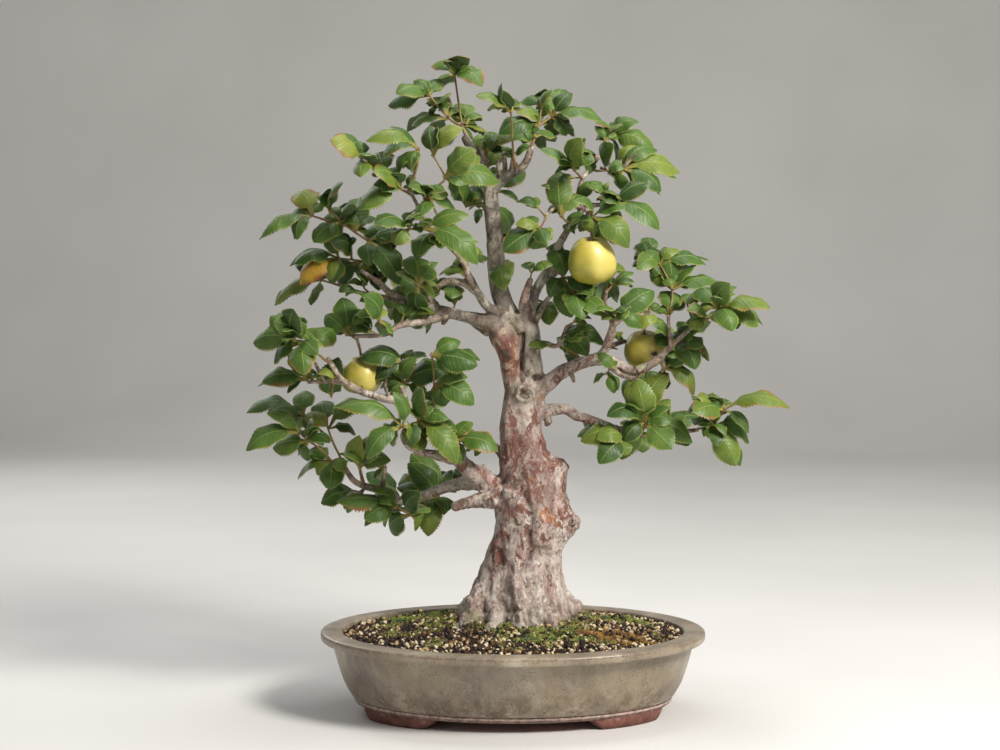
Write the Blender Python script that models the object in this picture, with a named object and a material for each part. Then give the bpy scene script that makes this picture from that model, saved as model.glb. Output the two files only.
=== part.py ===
"""Chinese quince bonsai in an oval glazed pot.

The pot, its drain screens, the soil, the moss, the tree's wood, the fruits and the leafy
shoots are separate closed bodies.  Sizes are in millimetres and become metres when a mesh
is made.  +Z is up, the front looks toward -Y, and the origin is on the ground at the
middle of the pot.

The tree is laid out on its front view, a view 1000 wide and 750 high in which one step is
one millimetre at the trunk.  A place in it is (column, row), and a depth in millimetres
behind the trunk's plane makes it a point in space.
"""
import math
import random

import bmesh
import bpy
from mathutils import Vector
from mathutils.bvhtree import BVHTree

MM = 0.001
SEED = 41

# Front view
MIDDLE_COLUMN = 513.0
GROUND_ROW = 711.0
EYE = Vector((-13.0, -1800.0, 436.0))

# Pot, an oval of constant wall that leans in further at its front and back
POT_HALF_WIDTH = 193.5
POT_HALF_DEPTH = 145.0
POT_HEIGHT = 83.0
LIP_HEIGHT = 10.0
FOOT_HEIGHT = 10.5
RING_INSET = 32.5
FRONT_LEAN = 10.8
FLOOR_TOP = 21.0
DRAIN_RADIUS = 12.5
DRAIN_OFFSET = 78.0
OVAL_SIDES = 32
FOOT_START, FOOT_END = math.radians(20), math.radians(61)
FOOT_STEPS, FOOT_DEEP, SCROLL_DEEP = 6, 17.0, 11.0

# Soil and trunk base
GAP = 0.4
SOIL_RIM_HEIGHT = 77.0
SOIL_INSET = 22.3
SOIL_RINGS = 7
MOUND_HEIGHT = 23.0
MOUND_REACH = 125.0
HOLE_FLOOR = 86.0
SCREEN_THICK = 1.2

# Leaves and fruit
LEAF_LENGTH = 44.0
LEAF_WIDTH = 25.0
SPREAD, SPREAD_BACK = 40.0, 12.0
GOLDEN_TURN = 2.4
FORWARD_SHOOTS = ("pale_low", "pale_forward", "upright_left_spur", "upright_knee", "base_under",
                  "upright_fruit_leaf", "low_left_front", "base_inner", "low_right_end")
LEAST_LEAF = 30.0
BLADE_THICK = 0.75
PETIOLE_SHARE = 0.15
LEAF_TRIES, LEAF_ROOM = 26, 1.0
TWIG_FOOT_RADIUS, SIDE_TWIG_RADIUS, TWIG_TIP_RADIUS = 1.6, 1.3, 1.1
TWIG_RISE, TWIG_ROOM = 1.6, 2.4
SIDE_LEAN = 0.4
SHIFTS = (0, -5, 5, -10, 10, -16, 16, -24, 24)
NUDGE = 0.00001

# Bevel resolutions that give tubes of four, six and eight sides
SIDES_4, SIDES_6, SIDES_8 = 0, 1, 2

COLOURS = {
    "glaze": (0.42, 0.38, 0.31, 0.35),
    "soil": (0.085, 0.055, 0.035, 0.95),
    "bark": (0.46, 0.36, 0.28, 0.8),
    "fruit": (0.42, 0.45, 0.10, 0.5),
    "leaf": (0.13, 0.22, 0.035, 0.55),
    "young_leaf": (0.22, 0.28, 0.05, 0.55),
    "moss": (0.10, 0.16, 0.02, 1.0),
    "rust_moss": (0.28, 0.12, 0.03, 1.0),
    "mesh": (0.02, 0.02, 0.022, 0.6),
}

# The trunk's left and right edge in the front view at each row, and its depth over its width.
TRUNK_ROWS = [
    (609, 457, 576), (601, 464, 570), (591, 470, 565), (580, 477, 561), (566, 483, 559),
    (550, 489, 561), (530, 495, 576), (518, 496, 579), (504, 494, 570), (490, 495, 566),
    (474, 500, 567), (460, 499, 565), (447, 501, 547), (425, 499, 542), (404, 502, 543),
    (386, 505, 546), (374, 507, 540),
]
TRUNK_SIDES = 16
TRUNK_DEPTH_SHARE = 0.86
TRUNK_COLUMN, TRUNK_TOP_ROW, TRUNK_REACH = 494, 372, 6.0
ROOT_LOBES, LOBES_LOST_A_ROW, LEAST_LOBES = 0.34, 0.06, 0.08

# Each limb: depth of its end, then (column, row, radius) from its foot outward.  The foot
# takes the depth of the limb it grows from.
LIMBS = {
    "left_limb": (-6, [(519, 395, 13), (512, 368, 10.5), (510, 350, 12.5), (503, 335, 13),
                        (494, 322, 11), (480, 317, 7.5), (460, 312, 5.8), (440, 307, 5.5),
                        (425, 304, 4.5), (405, 298, 4), (392, 291, 3.6), (377, 278, 2.8),
                        (362, 268, 2)]),
    "right_stem": (4, [(531, 402, 14), (533, 370, 10.8), (531, 350, 10), (529, 335, 10.5),
                       (526, 322, 11)]),
    "pale_limb": (-55, [(524, 322, 8), (512, 314, 6.5), (500, 310, 6), (487, 303, 5),
                        (478, 290, 4.4), (469, 273, 3.8), (463, 258, 3), (447, 240, 2.6),
                        (430, 226, 2.1), (420, 207, 1.8), (412, 191, 1.6)]),
    "leader": (8, [(524, 324, 10), (509, 310, 10), (501, 292, 9.8), (497, 270, 9.5),
                   (496, 250, 9), (494, 225, 8.4), (491, 200, 7.8), (491, 182, 7)]),
    "leader_left_fork": (26, [(492, 188, 6.4), (484, 168, 6), (475, 152, 5), (465, 136, 4)]),
    "leader_right_fork": (-18, [(491, 190, 5.8), (500, 180, 5), (511, 172, 4.6), (520, 167, 4),
                               (527, 158, 3.6), (531, 146, 3)]),
    "upright_limb": (-22, [(526, 326, 7), (531, 308, 5.2), (535, 290, 5), (544, 274, 5.6),
                           (553, 267, 7), (554, 254, 5), (562, 236, 4), (571, 222, 3.4),
                           (585, 205, 2.8), (599, 202, 2.2), (611, 200, 1.8)]),
    "upright_strand": (-14, [(524, 320, 5), (523, 300, 4), (530, 277, 3)]),
    "upright_top": (28, [(580, 211, 2.6), (578, 192, 2.4), (583, 175, 2.1), (598, 155, 1.8),
                          (607, 138, 1.5)]),
    "upright_side": (-34, [(584, 206, 2.4), (562, 201, 2), (545, 213, 1.6)]),
    "right_branch": (-14, [(534, 392, 9), (546, 382, 8.5), (560, 370, 7.4), (572, 364, 6.5),
                           (585, 358, 6), (603, 355, 5.6), (620, 362, 5.5), (637, 368, 5),
                           (657, 357, 4), (672, 342, 2.5), (694, 322, 1.8)]),
    "right_fork": (-44, [(599, 355, 5), (607, 342, 4.4), (613, 321, 3.6), (605, 302, 2.4),
                         (606, 289, 1.8)]),
    "right_fork_top": (-28, [(613, 322, 3), (623, 315, 2.4), (637, 312, 2.1), (650, 311, 1.9)]),
    "right_low_twig": (-34, [(603, 357, 3.5), (620, 371, 2.6), (637, 376, 2)]),
    "right_dark_limb": (34, [(604, 352, 3.6), (609, 344, 3), (625, 338, 2)]),
    "low_right": (8, [(533, 412, 9), (546, 408, 7), (565, 406, 5.6), (577, 413, 5),
                      (600, 420, 4.2), (615, 425, 3.8), (630, 432, 3.5), (660, 431, 2.5),
                      (698, 427, 2)]),
    "knee_twig": (-16, [(532, 342, 4), (544, 340, 2.9), (558, 342, 2.3), (567, 323, 1.7)]),
    "low_left": (-46, [(517, 507, 16), (498, 488, 13), (485, 479, 11), (470, 468, 9.2),
                       (460, 458, 8), (447, 440, 7), (437, 430, 6.6), (428, 418, 6.3),
                       (415, 407, 6), (400, 398, 5), (382, 395, 4), (365, 390, 3.7),
                       (352, 384, 3.5), (340, 375, 3), (328, 356, 2.4)]),
    "low_left_fork": (-6, [(348, 381, 2.8), (330, 378, 2.2), (308, 379, 1.7)]),
    "low_left_bend": (-52, [(459, 458, 7), (435, 452, 5), (420, 449, 4.4), (408, 442, 4),
                            (403, 434, 3), (405, 426, 2.2)]),
    "base_limb": (32, [(506, 488, 12), (486, 482, 9), (468, 480, 8), (445, 485, 6),
                      (430, 491, 5.5), (413, 497, 5), (398, 498, 4.5), (382, 488, 4),
                      (365, 484, 3.5), (352, 477, 3.1), (341, 460, 2.5)]),
    "cut_limb": (-26, [(505, 500, 12), (490, 496, 9), (470, 500, 6.5), (455, 504, 5)]),
    "back_arc": (46, [(506, 455, 6), (497, 446, 4.4), (480, 436, 3), (465, 442, 2)]),
    "left_prong_low": (-44, [(452, 311, 4.4), (425, 318, 3.8), (400, 322, 3.2), (389, 329, 2.8),
                             (378, 332, 2.5), (353, 333, 2)]),
    "left_prong_high": (30, [(400, 296, 3.2), (385, 294, 2.6), (358, 289, 2.2), (340, 281, 1.8)]),
    "upper_left": (28, [(434, 305, 4), (430, 293, 3.2), (420, 277, 3), (404, 261, 2.8)]),
    "back_left_limb": (120, [(480, 317, 6), (466, 314, 5), (450, 310, 4), (430, 305, 3)]),
    "back_right_limb": (115, [(556, 374, 6), (585, 360, 5), (610, 358, 4), (636, 366, 3)]),
    "back_top_limb": (92, [(496, 262, 6), (498, 245, 5), (494, 225, 4), (492, 205, 3)]),
    "back_low_limb": (105, [(585, 414, 4), (604, 421, 3.6), (630, 431, 3)]),
    "back_base_limb": (108, [(478, 481, 6), (452, 484, 4.6), (424, 493, 3)]),
}

# Fruit: middle in the view, depth, width, height, and the limb end that its stalk leaves.
FRUIT_SIDES, FRUIT_ROWS, FRUIT_END_RADIUS = 14, 8, 4.0
CALYX_CAVITY, STALK_CAVITY = 3.5, 4.5
STALK_RADII = (1.9, 1.6, 1.5, 1.4)
FRUITS = {
    "fruit_upper": ((591, 257), -42, 47, 47, (586, 206)),
    "fruit_right": ((644, 346), 22, 42, 39, (650, 312)),
    "fruit_left": ((361, 372), 14, 41, 38, (356, 333)),
}

# Leafy shoots.  Twigs run from the wood outward; "lean" is how far their ends come forward
# (negative) or go back.  Leaves are listed by the spur they leave, as tip column, tip row and
# how far the blade faces the front, 0 on edge to 9 full.
SHOOTS = {
    "crown_left": (6, [[(467, 140), (461, 115), (455, 74)], [(461, 124), (448, 115), (430, 94)]], {
        (455, 74): [(461, 52, 6), (482, 84, 7)],
        (430, 94): [(388, 102, 5), (397, 91, 5), (442, 77, 6)],
        (441, 107): [(430, 101, 6), (447, 94, 6)],
        (448, 116): [(456, 107, 4)],
        (461, 124): [(489, 132, 4)]}),
    "crown_right": (-8, [[(530, 150), (538, 124), (541, 107)], [(538, 124), (551, 115)]], {
        (535, 136): [(514, 127, 8), (555, 134, 5)],
        (538, 124): [(499, 131, 8)],
        (541, 107): [(520, 98, 5), (552, 90, 6)],
        (551, 115): [(560, 87, 8), (601, 117, 4)]}),
    "crown_middle": (-14, [[(516, 170), (513, 150), (511, 111)]], {
        (511, 111): [(513, 98, 6)]}),
    "leader_spur": (-22, [[(484, 168), (487, 150)]], {
        (487, 150): [(478, 132, 6), (507, 149, 5)]}),
    "pale_forward": (-10, [[(420, 206), (436, 185), (445, 175), (434, 154)]], {
        (445, 175): [(474, 147, 9), (500, 178, 8)],
        (434, 154): [(462, 125, 5)],
        (427, 198): [(458, 206, 5), (413, 181, 7)]}),
    "pale_outer": (-4, [[(413, 193), (388, 178), (362, 156)], [(408, 190), (417, 165), (419, 148)]], {
        (362, 156): [(332, 137, 7)],
        (371, 163): [(365, 151, 6), (361, 174, 5)],
        (386, 177): [(378, 149, 6)],
        (400, 187): [(360, 204, 4), (377, 167, 7)],
        (418, 156): [(401, 160, 8)],
        (419, 148): [(367, 138, 4)]}),
    "pale_low": (-18, [[(434, 229), (424, 226)], [(424, 226), (410, 226)]], {
        (424, 226): [(417, 212, 6), (478, 259, 9)],
        (410, 226): [(376, 219, 4), (411, 213, 6)]}),
    "left_top_outer": (-12, [[(406, 263), (385, 248), (355, 229), (331, 209)],
                             [(345, 223), (313, 213)]], {
        (313, 213): [(261, 230, 4), (297, 189, 7)],
        (331, 209): [(343, 181, 5)],
        (342, 219): [(314, 239, 7)],
        (355, 229): [(360, 193, 8)],
        (368, 238): [(400, 280, 9)],
        (385, 248): [(370, 222, 6)]}),
    "left_top_inner": (-26, [[(412, 270), (390, 262), (362, 258), (339, 255)]], {
        (339, 255): [(300, 281, 7)],
        (352, 257): [(331, 236, 8)],
        (362, 258): [(338, 284, 9)]}),
    "left_prong_end": (-14, [[(346, 284), (322, 277)]], {
        (322, 277): [(273, 300, 4)]}),
    "left_limb_hanging": (-24, [[(428, 290), (418, 282)]], {
        (418, 282): [(420, 308, 8), (411, 250, 6)]}),
    "upright_left_spur": (-18, [[(550, 211), (546, 214), (540, 226)]], {
        (540, 226): [(510, 232, 7), (503, 248, 7), (546, 240, 5), (527, 239, 5)]}),
    "upright_knee": (-24, [[(556, 266), (563, 274), (574, 291)]], {
        (563, 274): [(596, 298, 8), (571, 314, 8)],
        (574, 291): [(582, 316, 6)]}),
    "upright_fruit_spur": (-22, [[(571, 222), (561, 214)]], {
        (561, 214): [(558, 167, 9), (552, 203, 6)]}),
    "upright_fruit_leaf": (-30, [[(586, 206), (592, 214)]], {
        (592, 214): [(629, 242, 7), (577, 195, 5)]}),
    "upright_top_left": (-12, [[(582, 176), (574, 168)]], {
        (574, 168): [(577, 138, 8)]}),
    "upright_top_end": (-6, [[(606, 142), (609, 132)]], {
        (608, 135): [(597, 120, 6), (640, 150, 8)]}),
    "upright_top_right": (-6, [[(589, 168), (606, 168), (622, 167)]], {
        (606, 168): [(612, 142, 8), (623, 185, 5)],
        (622, 167): [(679, 170, 7), (661, 186, 4)]}),
    "upright_end": (-4, [[(604, 202), (616, 200)]], {
        (614, 200): [(659, 226, 5), (610, 188, 8)]}),
    "right_fork_end": (-12, [[(606, 290), (614, 270)]], {
        (610, 270): [(597, 292, 5), (620, 265, 6)]}),
    "right_fork_spur": (-26, [[(612, 322), (617, 312)]], {
        (617, 312): [(654, 286, 8), (625, 308, 6)]}),
    "knee_end": (-8, [[(560, 340), (562, 334)]], {
        (562, 336): [(606, 338, 6), (572, 353, 8), (587, 350, 5)]}),
    "right_upper": (-6, [[(671, 345), (669, 313), (672, 287), (660, 262)]], {
        (669, 313): [(670, 286, 9)],
        (672, 287): [(683, 264, 8), (722, 280, 4)],
        (660, 262): [(706, 259, 4), (636, 247, 8), (637, 265, 7)]}),
    "right_end": (-6, [[(690, 326), (706, 317), (718, 306)]], {
        (706, 317): [(690, 305, 6)],
        (718, 306): [(697, 285, 7), (727, 281, 8), (770, 303, 4), (743, 317, 8), (733, 327, 7)]}),
    "right_under": (-20, [[(672, 343), (682, 339)]], {
        (682, 339): [(702, 343, 7), (686, 356, 8), (710, 355, 4), (688, 321, 7)]}),
    "low_right_middle": (-22, [[(642, 432), (646, 420)]], {
        (646, 420): [(636, 375, 7), (668, 369, 7), (673, 446, 8)]}),
    "low_right_inner": (-20, [[(618, 427), (624, 436)]], {
        (624, 436): [(582, 436, 7), (600, 460, 9)]}),
    "low_right_end": (-30, [[(692, 427), (713, 423), (724, 407)]], {
        (713, 423): [(750, 440, 6), (738, 462, 8), (718, 442, 7), (700, 393, 5)],
        (724, 407): [(790, 402, 4), (694, 409, 8), (724, 400, 6)]}),
    "low_left_end": (-10, [[(331, 362), (312, 346), (294, 336)]], {
        (294, 336): [(252, 338, 8), (293, 307, 9)],
        (302, 340): [(304, 369, 6), (272, 358, 7)],
        (312, 346): [(308, 328, 7), (334, 326, 9)]}),
    "low_left_fork_end": (-4, [[(314, 379), (304, 377)]], {
        (306, 377): [(262, 377, 6), (304, 369, 6)]}),
    "left_prong_low_end": (-8, [[(358, 333), (347, 332)]], {
        (349, 332): [(342, 293, 8), (329, 314, 5)]}),
    "left_prong_low_spur": (-18, [[(389, 329), (380, 319)]], {
        (380, 319): [(365, 292, 7), (355, 313, 5), (393, 331, 5)]}),
    "low_left_upper": (-16, [[(407, 400), (403, 381), (405, 361)]], {
        (403, 381): [(445, 365, 8), (382, 378, 6)],
        (405, 361): [(360, 352, 5)]}),
    "low_left_rising": (-12, [[(431, 421), (434, 382), (432, 352)]], {
        (434, 382): [(474, 401, 8), (437, 401, 8)],
        (432, 352): [(477, 361, 7)]}),
    "low_left_knee": (-22, [[(449, 442), (457, 436)]], {
        (456, 437): [(498, 446, 5), (461, 415, 6), (473, 427, 6)]}),
    "low_left_front": (-26, [[(416, 408), (418, 418)]], {
        (418, 418): [(443, 441, 5), (418, 388, 7), (457, 460, 7)]}),
    "bend_end": (-20, [[(404, 431), (403, 424)]], {
        (403, 424): [(389, 443, 9)]}),
    "base_upper": (-10, [[(344, 464), (332, 438), (327, 424)], [(332, 438), (303, 413)]], {
        (327, 424): [(322, 396, 8)],
        (303, 413): [(305, 387, 7), (268, 410, 6), (246, 409, 4), (293, 427, 6)]}),
    "base_outer": (-18, [[(353, 478), (338, 468), (324, 450), (308, 438), (299, 430)]], {
        (299, 430): [(245, 447, 6)],
        (308, 438): [(272, 445, 8)],
        (331, 459): [(329, 486, 8), (297, 476, 4)]}),
    "base_middle": (-22, [[(362, 484), (359, 466)]], {
        (359, 466): [(378, 432, 8), (346, 451, 5)]}),
    "base_inner": (-30, [[(440, 487), (437, 497)]], {
        (437, 497): [(409, 461, 8), (427, 532, 9), (411, 450, 7)]}),
    "base_under": (-16, [[(392, 493), (396, 507), (410, 513)]], {
        (396, 507): [(364, 516, 8), (336, 499, 4)],
        (410, 513): [(390, 533, 9), (419, 490, 7)]}),
    "back_left": (6, [[(438, 307), (424, 303), (408, 297)]], {
        (424, 303): [(400, 270, 5), (432, 268, 4), (402, 322, 5)],
        (408, 297): [(372, 290, 6), (388, 266, 5), (380, 312, 4)]}),
    "back_right": (20, [[(628, 364), (646, 367), (660, 356)]], {
        (646, 367): [(640, 330, 5), (662, 395, 5), (628, 398, 4)],
        (660, 356): [(690, 330, 5), (668, 320, 6), (700, 358, 4)]}),
    "back_top": (20, [[(493, 212), (494, 190), (484, 172)]], {
        (494, 190): [(525, 168, 5), (470, 205, 5), (462, 178, 4)],
        (484, 172): [(478, 132, 5), (452, 150, 4), (512, 145, 5)]}),
    "back_low": (16, [[(622, 429), (642, 432), (662, 430)]], {
        (642, 432): [(640, 395, 5), (622, 455, 4)],
        (662, 430): [(700, 412, 5), (668, 396, 4), (692, 440, 5)]}),
    "back_base": (16, [[(432, 490), (414, 497), (400, 496)]], {
        (414, 497): [(418, 462, 5), (430, 524, 5)],
        (400, 496): [(366, 470, 5), (384, 524, 4), (372, 505, 5)]}),
}

MOSS = {
    "moss_back_left": (-100, 42, 34, 18, "moss"),
    "moss_left": (-70, -8, 20, 24, "moss"),
    "moss_front": (33, -66, 34, 18, "moss"),
    "moss_front_right": (100, -52, 34, 18, "rust_moss"),
    "moss_back_right": (108, 28, 30, 16, "moss"),
}


def at_view(column, row, depth=0.0):
    """The point, in millimetres, that the front view shows at this place and depth."""
    flat = Vector((column - MIDDLE_COLUMN, 0.0, GROUND_ROW - row))
    share = (depth - EYE.y) / -EYE.y
    return Vector((EYE.x + (flat.x - EYE.x) * share, depth, EYE.z + (flat.z - EYE.z) * share))


def clear_scene():
    for old in list(bpy.data.objects):
        bpy.data.objects.remove(old, do_unlink=True)


def new_collection(name):
    collection = bpy.data.collections.new(name)
    bpy.context.scene.collection.children.link(collection)
    return collection


def material(name):
    """A plain Principled material of this part's colour and roughness."""
    red, green, blue, roughness = COLOURS[name]
    made = bpy.data.materials.new(name)
    made.use_nodes = True
    shader = made.node_tree.nodes["Principled BSDF"]
    shader.inputs["Base Color"].default_value = (red, green, blue, 1)
    shader.inputs["Roughness"].default_value = roughness
    shader.inputs["Metallic"].default_value = 0.0
    return made


def mesh_object(name, bm, collection, finish=None):
    """Put a bmesh given in millimetres into the scene as an object in metres."""
    bmesh.ops.scale(bm, vec=(MM, MM, MM), verts=bm.verts)
    mesh = bpy.data.meshes.new(name)
    bm.to_mesh(mesh)
    bm.free()
    made = bpy.data.objects.new(name, mesh)
    collection.objects.link(made)
    if finish:
        mesh.materials.append(finish)
    return made


def loft(rings):
    """Skin a list of point rings of equal count and cap both ends."""
    bm = bmesh.new()
    count = len(rings[0])
    made = [[bm.verts.new(point) for point in ring] for ring in rings]
    for lower, upper in zip(made, made[1:]):
        for i in range(count):
            j = (i + 1) % count
            bm.faces.new((lower[i], lower[j], upper[j], upper[i]))
    bm.faces.new(list(reversed(made[0])))
    bm.faces.new(made[-1])
    bmesh.ops.recalc_face_normals(bm, faces=bm.faces)
    return bm


def tube(name, points, radii, resolution, collection):
    """A bent tube through points in millimetres, as a closed mesh object."""
    curve = bpy.data.curves.new(name, "CURVE")
    curve.dimensions = "3D"
    curve.bevel_depth = MM
    curve.bevel_resolution = resolution
    curve.use_fill_caps = True
    spline = curve.splines.new("POLY")
    spline.points.add(len(points) - 1)
    for slot, point, radius in zip(spline.points, points, radii):
        slot.co = (*(point * MM), 1)
        slot.radius = radius
    drawn = bpy.data.objects.new(name + "_curve", curve)
    collection.objects.link(drawn)
    graph = bpy.context.evaluated_depsgraph_get()
    mesh = bpy.data.meshes.new_from_object(drawn.evaluated_get(graph))
    made = bpy.data.objects.new(name, mesh)
    made.matrix_world = drawn.matrix_world
    collection.objects.link(made)
    bpy.data.objects.remove(drawn, do_unlink=True)
    bm = bmesh.new()
    bm.from_mesh(mesh)
    bmesh.ops.remove_doubles(bm, verts=bm.verts, dist=1e-6)
    bmesh.ops.recalc_face_normals(bm, faces=bm.faces)
    bm.to_mesh(mesh)
    bm.free()
    return made


def fuse(name, pieces, home, finish):
    """Join closed pieces into one body by one union on a collection of them."""
    base = pieces[0]
    joined = base.data
    if len(pieces) > 1:
        repeats = new_collection(name + "_repeats")
        for piece in pieces[1:]:
            for holder in piece.users_collection:
                holder.objects.unlink(piece)
            repeats.objects.link(piece)
        join = base.modifiers.new("join", "BOOLEAN")
        join.operation = "UNION"
        join.operand_type = "COLLECTION"
        join.collection = repeats
        # The exact solver takes minutes on this many thin pieces.
        join.solver = "MANIFOLD"
        for attempt in range(12):
            # Edges that meet by chance leave a seam, so the pieces are nudged and joined again.
            for i, piece in enumerate(repeats.objects):
                turn = 2.4 * i + attempt
                piece.location = NUDGE * attempt * Vector((math.cos(turn), math.sin(turn), 0.5))
            bpy.context.view_layer.update()
            graph = bpy.context.evaluated_depsgraph_get()
            joined = bpy.data.meshes.new_from_object(base.evaluated_get(graph))
            if keep_largest_body(joined):
                break
        base.modifiers.clear()
        base.data = joined
        for piece in list(repeats.objects):
            bpy.data.objects.remove(piece, do_unlink=True)
        bpy.data.collections.remove(repeats)
    base.name = name
    base.data.name = name
    base.data.materials.clear()
    base.data.materials.append(finish)
    for holder in base.users_collection:
        holder.objects.unlink(base)
    home.objects.link(base)
    return base


def keep_largest_body(mesh):
    """Drop loose scraps and sealed hollows, leave the one body, and say whether it is closed."""
    bm = bmesh.new()
    bm.from_mesh(mesh)
    waiting = set(bm.verts)
    bodies = []
    while waiting:
        stack = [waiting.pop()]
        body = []
        while stack:
            vert = stack.pop()
            body.append(vert)
            for edge in vert.link_edges:
                other = edge.other_vert(vert)
                if other in waiting:
                    waiting.remove(other)
                    stack.append(other)
        bodies.append(body)
    bodies.sort(key=len)
    for body in bodies[:-1]:
        bmesh.ops.delete(bm, geom=body, context="VERTS")
    bmesh.ops.triangulate(bm, faces=bm.faces)
    closed = all(len(edge.link_faces) == 2 for edge in bm.edges)
    bm.to_mesh(mesh)
    bm.free()
    return closed


def tree_of(thing):
    """A search tree of an object's triangles, in millimetres."""
    mesh = thing.data
    points = [vert.co / MM for vert in mesh.vertices]
    mesh.calc_loop_triangles()
    return BVHTree.FromPolygons(points, [tuple(tri.vertices) for tri in mesh.loop_triangles])


def oval(inset, z, sides=OVAL_SIDES):
    """A ring of the pot's oval, this far in from the outer edge of the lip."""
    lean = FRONT_LEAN * max(0.0, 1 - z / (POT_HEIGHT - LIP_HEIGHT))
    across, deep = POT_HALF_WIDTH - inset, POT_HALF_DEPTH - inset - lean
    return [Vector((across * math.cos(turn), deep * math.sin(turn), z))
            for turn in (2 * math.pi * i / sides for i in range(sides))]


def build_pot(home, cutters):
    """The fired pot: bowl, lip, foot ring and four cloud feet in one piece."""
    top, lip_low = POT_HEIGHT, POT_HEIGHT - LIP_HEIGHT
    profile = [
        (RING_INSET, FOOT_HEIGHT), (RING_INSET, 15), (29.5, 18.5), (23.5, 31), (17, 51),
        (12, lip_low - 0.5), (2, lip_low), (0, lip_low + 3), (0, top - 3), (3, top), (20.5, top),
        (25, 57), (34, 32), (46, FLOOR_TOP),
    ]
    bowl = mesh_object("pot", loft([oval(inset, z) for inset, z in profile]), home)
    feet = [foot(quarter, cutters) for quarter in range(4)]
    pot = fuse("pot", [bowl] + feet, home, material("glaze"))
    for side in (-1, 1):
        bm = bmesh.new()
        bmesh.ops.create_cone(bm, cap_ends=True, segments=20, radius1=DRAIN_RADIUS,
                              radius2=DRAIN_RADIUS, depth=30)
        bmesh.ops.translate(bm, verts=bm.verts, vec=(side * DRAIN_OFFSET, 0, FLOOR_TOP - 8))
        cutter = mesh_object("drain_cutter", bm, cutters)
        cutter.hide_render = True
        cutter.display_type = "WIRE"
        cut = pot.modifiers.new("drain", "BOOLEAN")
        cut.operation = "DIFFERENCE"
        cut.object = cutter
    return pot


def foot(quarter, cutters):
    """One cloud foot, an arc under the ring that thins to a scroll at each end."""
    rings = []
    for i in range(FOOT_STEPS + 1):
        share = i / FOOT_STEPS
        turn = FOOT_START + (FOOT_END - FOOT_START) * share
        if quarter in (1, 3):
            turn = math.pi - turn
        if quarter in (2, 3):
            turn = -turn
        edge = abs(2 * share - 1)
        bottom = 0.0 if edge < 0.8 else FOOT_HEIGHT * 0.42
        outer = RING_INSET + 1.5 + (1.5 if edge > 0.9 else 0)
        inner = outer + (FOOT_DEEP if edge < 0.9 else SCROLL_DEEP)
        ring = []
        for inset, z in ((outer, bottom), (inner, bottom), (inner, FOOT_HEIGHT + 2),
                         (outer, FOOT_HEIGHT + 2)):
            across, deep = POT_HALF_WIDTH - inset, POT_HALF_DEPTH - inset - FRONT_LEAN
            ring.append(Vector((across * math.cos(turn), deep * math.sin(turn), z)))
        rings.append(ring)
    return mesh_object("foot", loft(rings), cutters)


def build_screens(home):
    """A square of plastic mesh over each drain hole, on the pot's floor."""
    finish = material("mesh")
    half, hole, pitch = 17.0, 8.0, 11.0
    middles = (-pitch / 2, pitch / 2)
    lines = [-half] + [middle + way * hole / 2 for middle in middles for way in (-1, 1)] + [half]
    count = len(lines) - 1
    for name, side in (("drain_screen_left", -1), ("drain_screen_right", 1)):
        bm = bmesh.new()
        bmesh.ops.create_grid(bm, x_segments=count, y_segments=count, size=0.5)
        for vert in bm.verts:
            i = round((vert.co.x + 0.5) * count)
            j = round((vert.co.y + 0.5) * count)
            vert.co = (lines[i], lines[j], 0)
        gone = []
        for face in bm.faces:
            x, y, _ = face.calc_center_median()
            if all(min(abs(value - middle) for middle in middles) < hole / 2 for value in (x, y)):
                gone.append(face)
        bmesh.ops.delete(bm, geom=gone, context="FACES")
        sheet = bmesh.ops.extrude_face_region(bm, geom=bm.faces[:])
        raised = [item for item in sheet["geom"] if isinstance(item, bmesh.types.BMVert)]
        bmesh.ops.translate(bm, verts=raised, vec=(0, 0, SCREEN_THICK))
        bmesh.ops.recalc_face_normals(bm, faces=bm.faces)
        bmesh.ops.translate(bm, verts=bm.verts, vec=(side * DRAIN_OFFSET, 0, FLOOR_TOP + GAP))
        mesh_object(name, bm, home, finish)


def soil_height(x, y):
    """The soil's mound, highest round the trunk, with granules as low relief."""
    reach = math.hypot((x - 4) / MOUND_REACH, y / (MOUND_REACH * 0.8))
    mound = MOUND_HEIGHT * math.exp(-1.5 * reach * reach)
    grain = 0.9 * math.sin(0.53 * x + 1.3 * math.sin(0.31 * y)) * math.sin(0.47 * y + 0.8)
    return SOIL_RIM_HEIGHT + mound + grain


def trunk_ring(left, right, z, lobes, grow=0.0):
    """One ring of the trunk, ribbed by the roots and flutes that run down it."""
    centre_x, half = (left + right) / 2, (right - left) / 2 + grow
    deep = half * TRUNK_DEPTH_SHARE
    ring = []
    for i in range(TRUNK_SIDES):
        turn = 2 * math.pi * i / TRUNK_SIDES
        rib = 1 + lobes * (math.cos(5 * turn + 0.6) - 1) * 0.5 * abs(math.sin(turn))
        waist = 1 - lobes * 0.15 * abs(math.sin(2 * turn))
        ring.append(Vector((centre_x + half * math.cos(turn) * waist, deep * math.sin(turn) * rib, z)))
    return ring


def base_ring(z, grow=0.0):
    """The outline in which the trunk enters the soil."""
    _, left, right = TRUNK_ROWS[0]
    return trunk_ring(left - MIDDLE_COLUMN, right - MIDDLE_COLUMN, z, ROOT_LOBES, grow)


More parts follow.
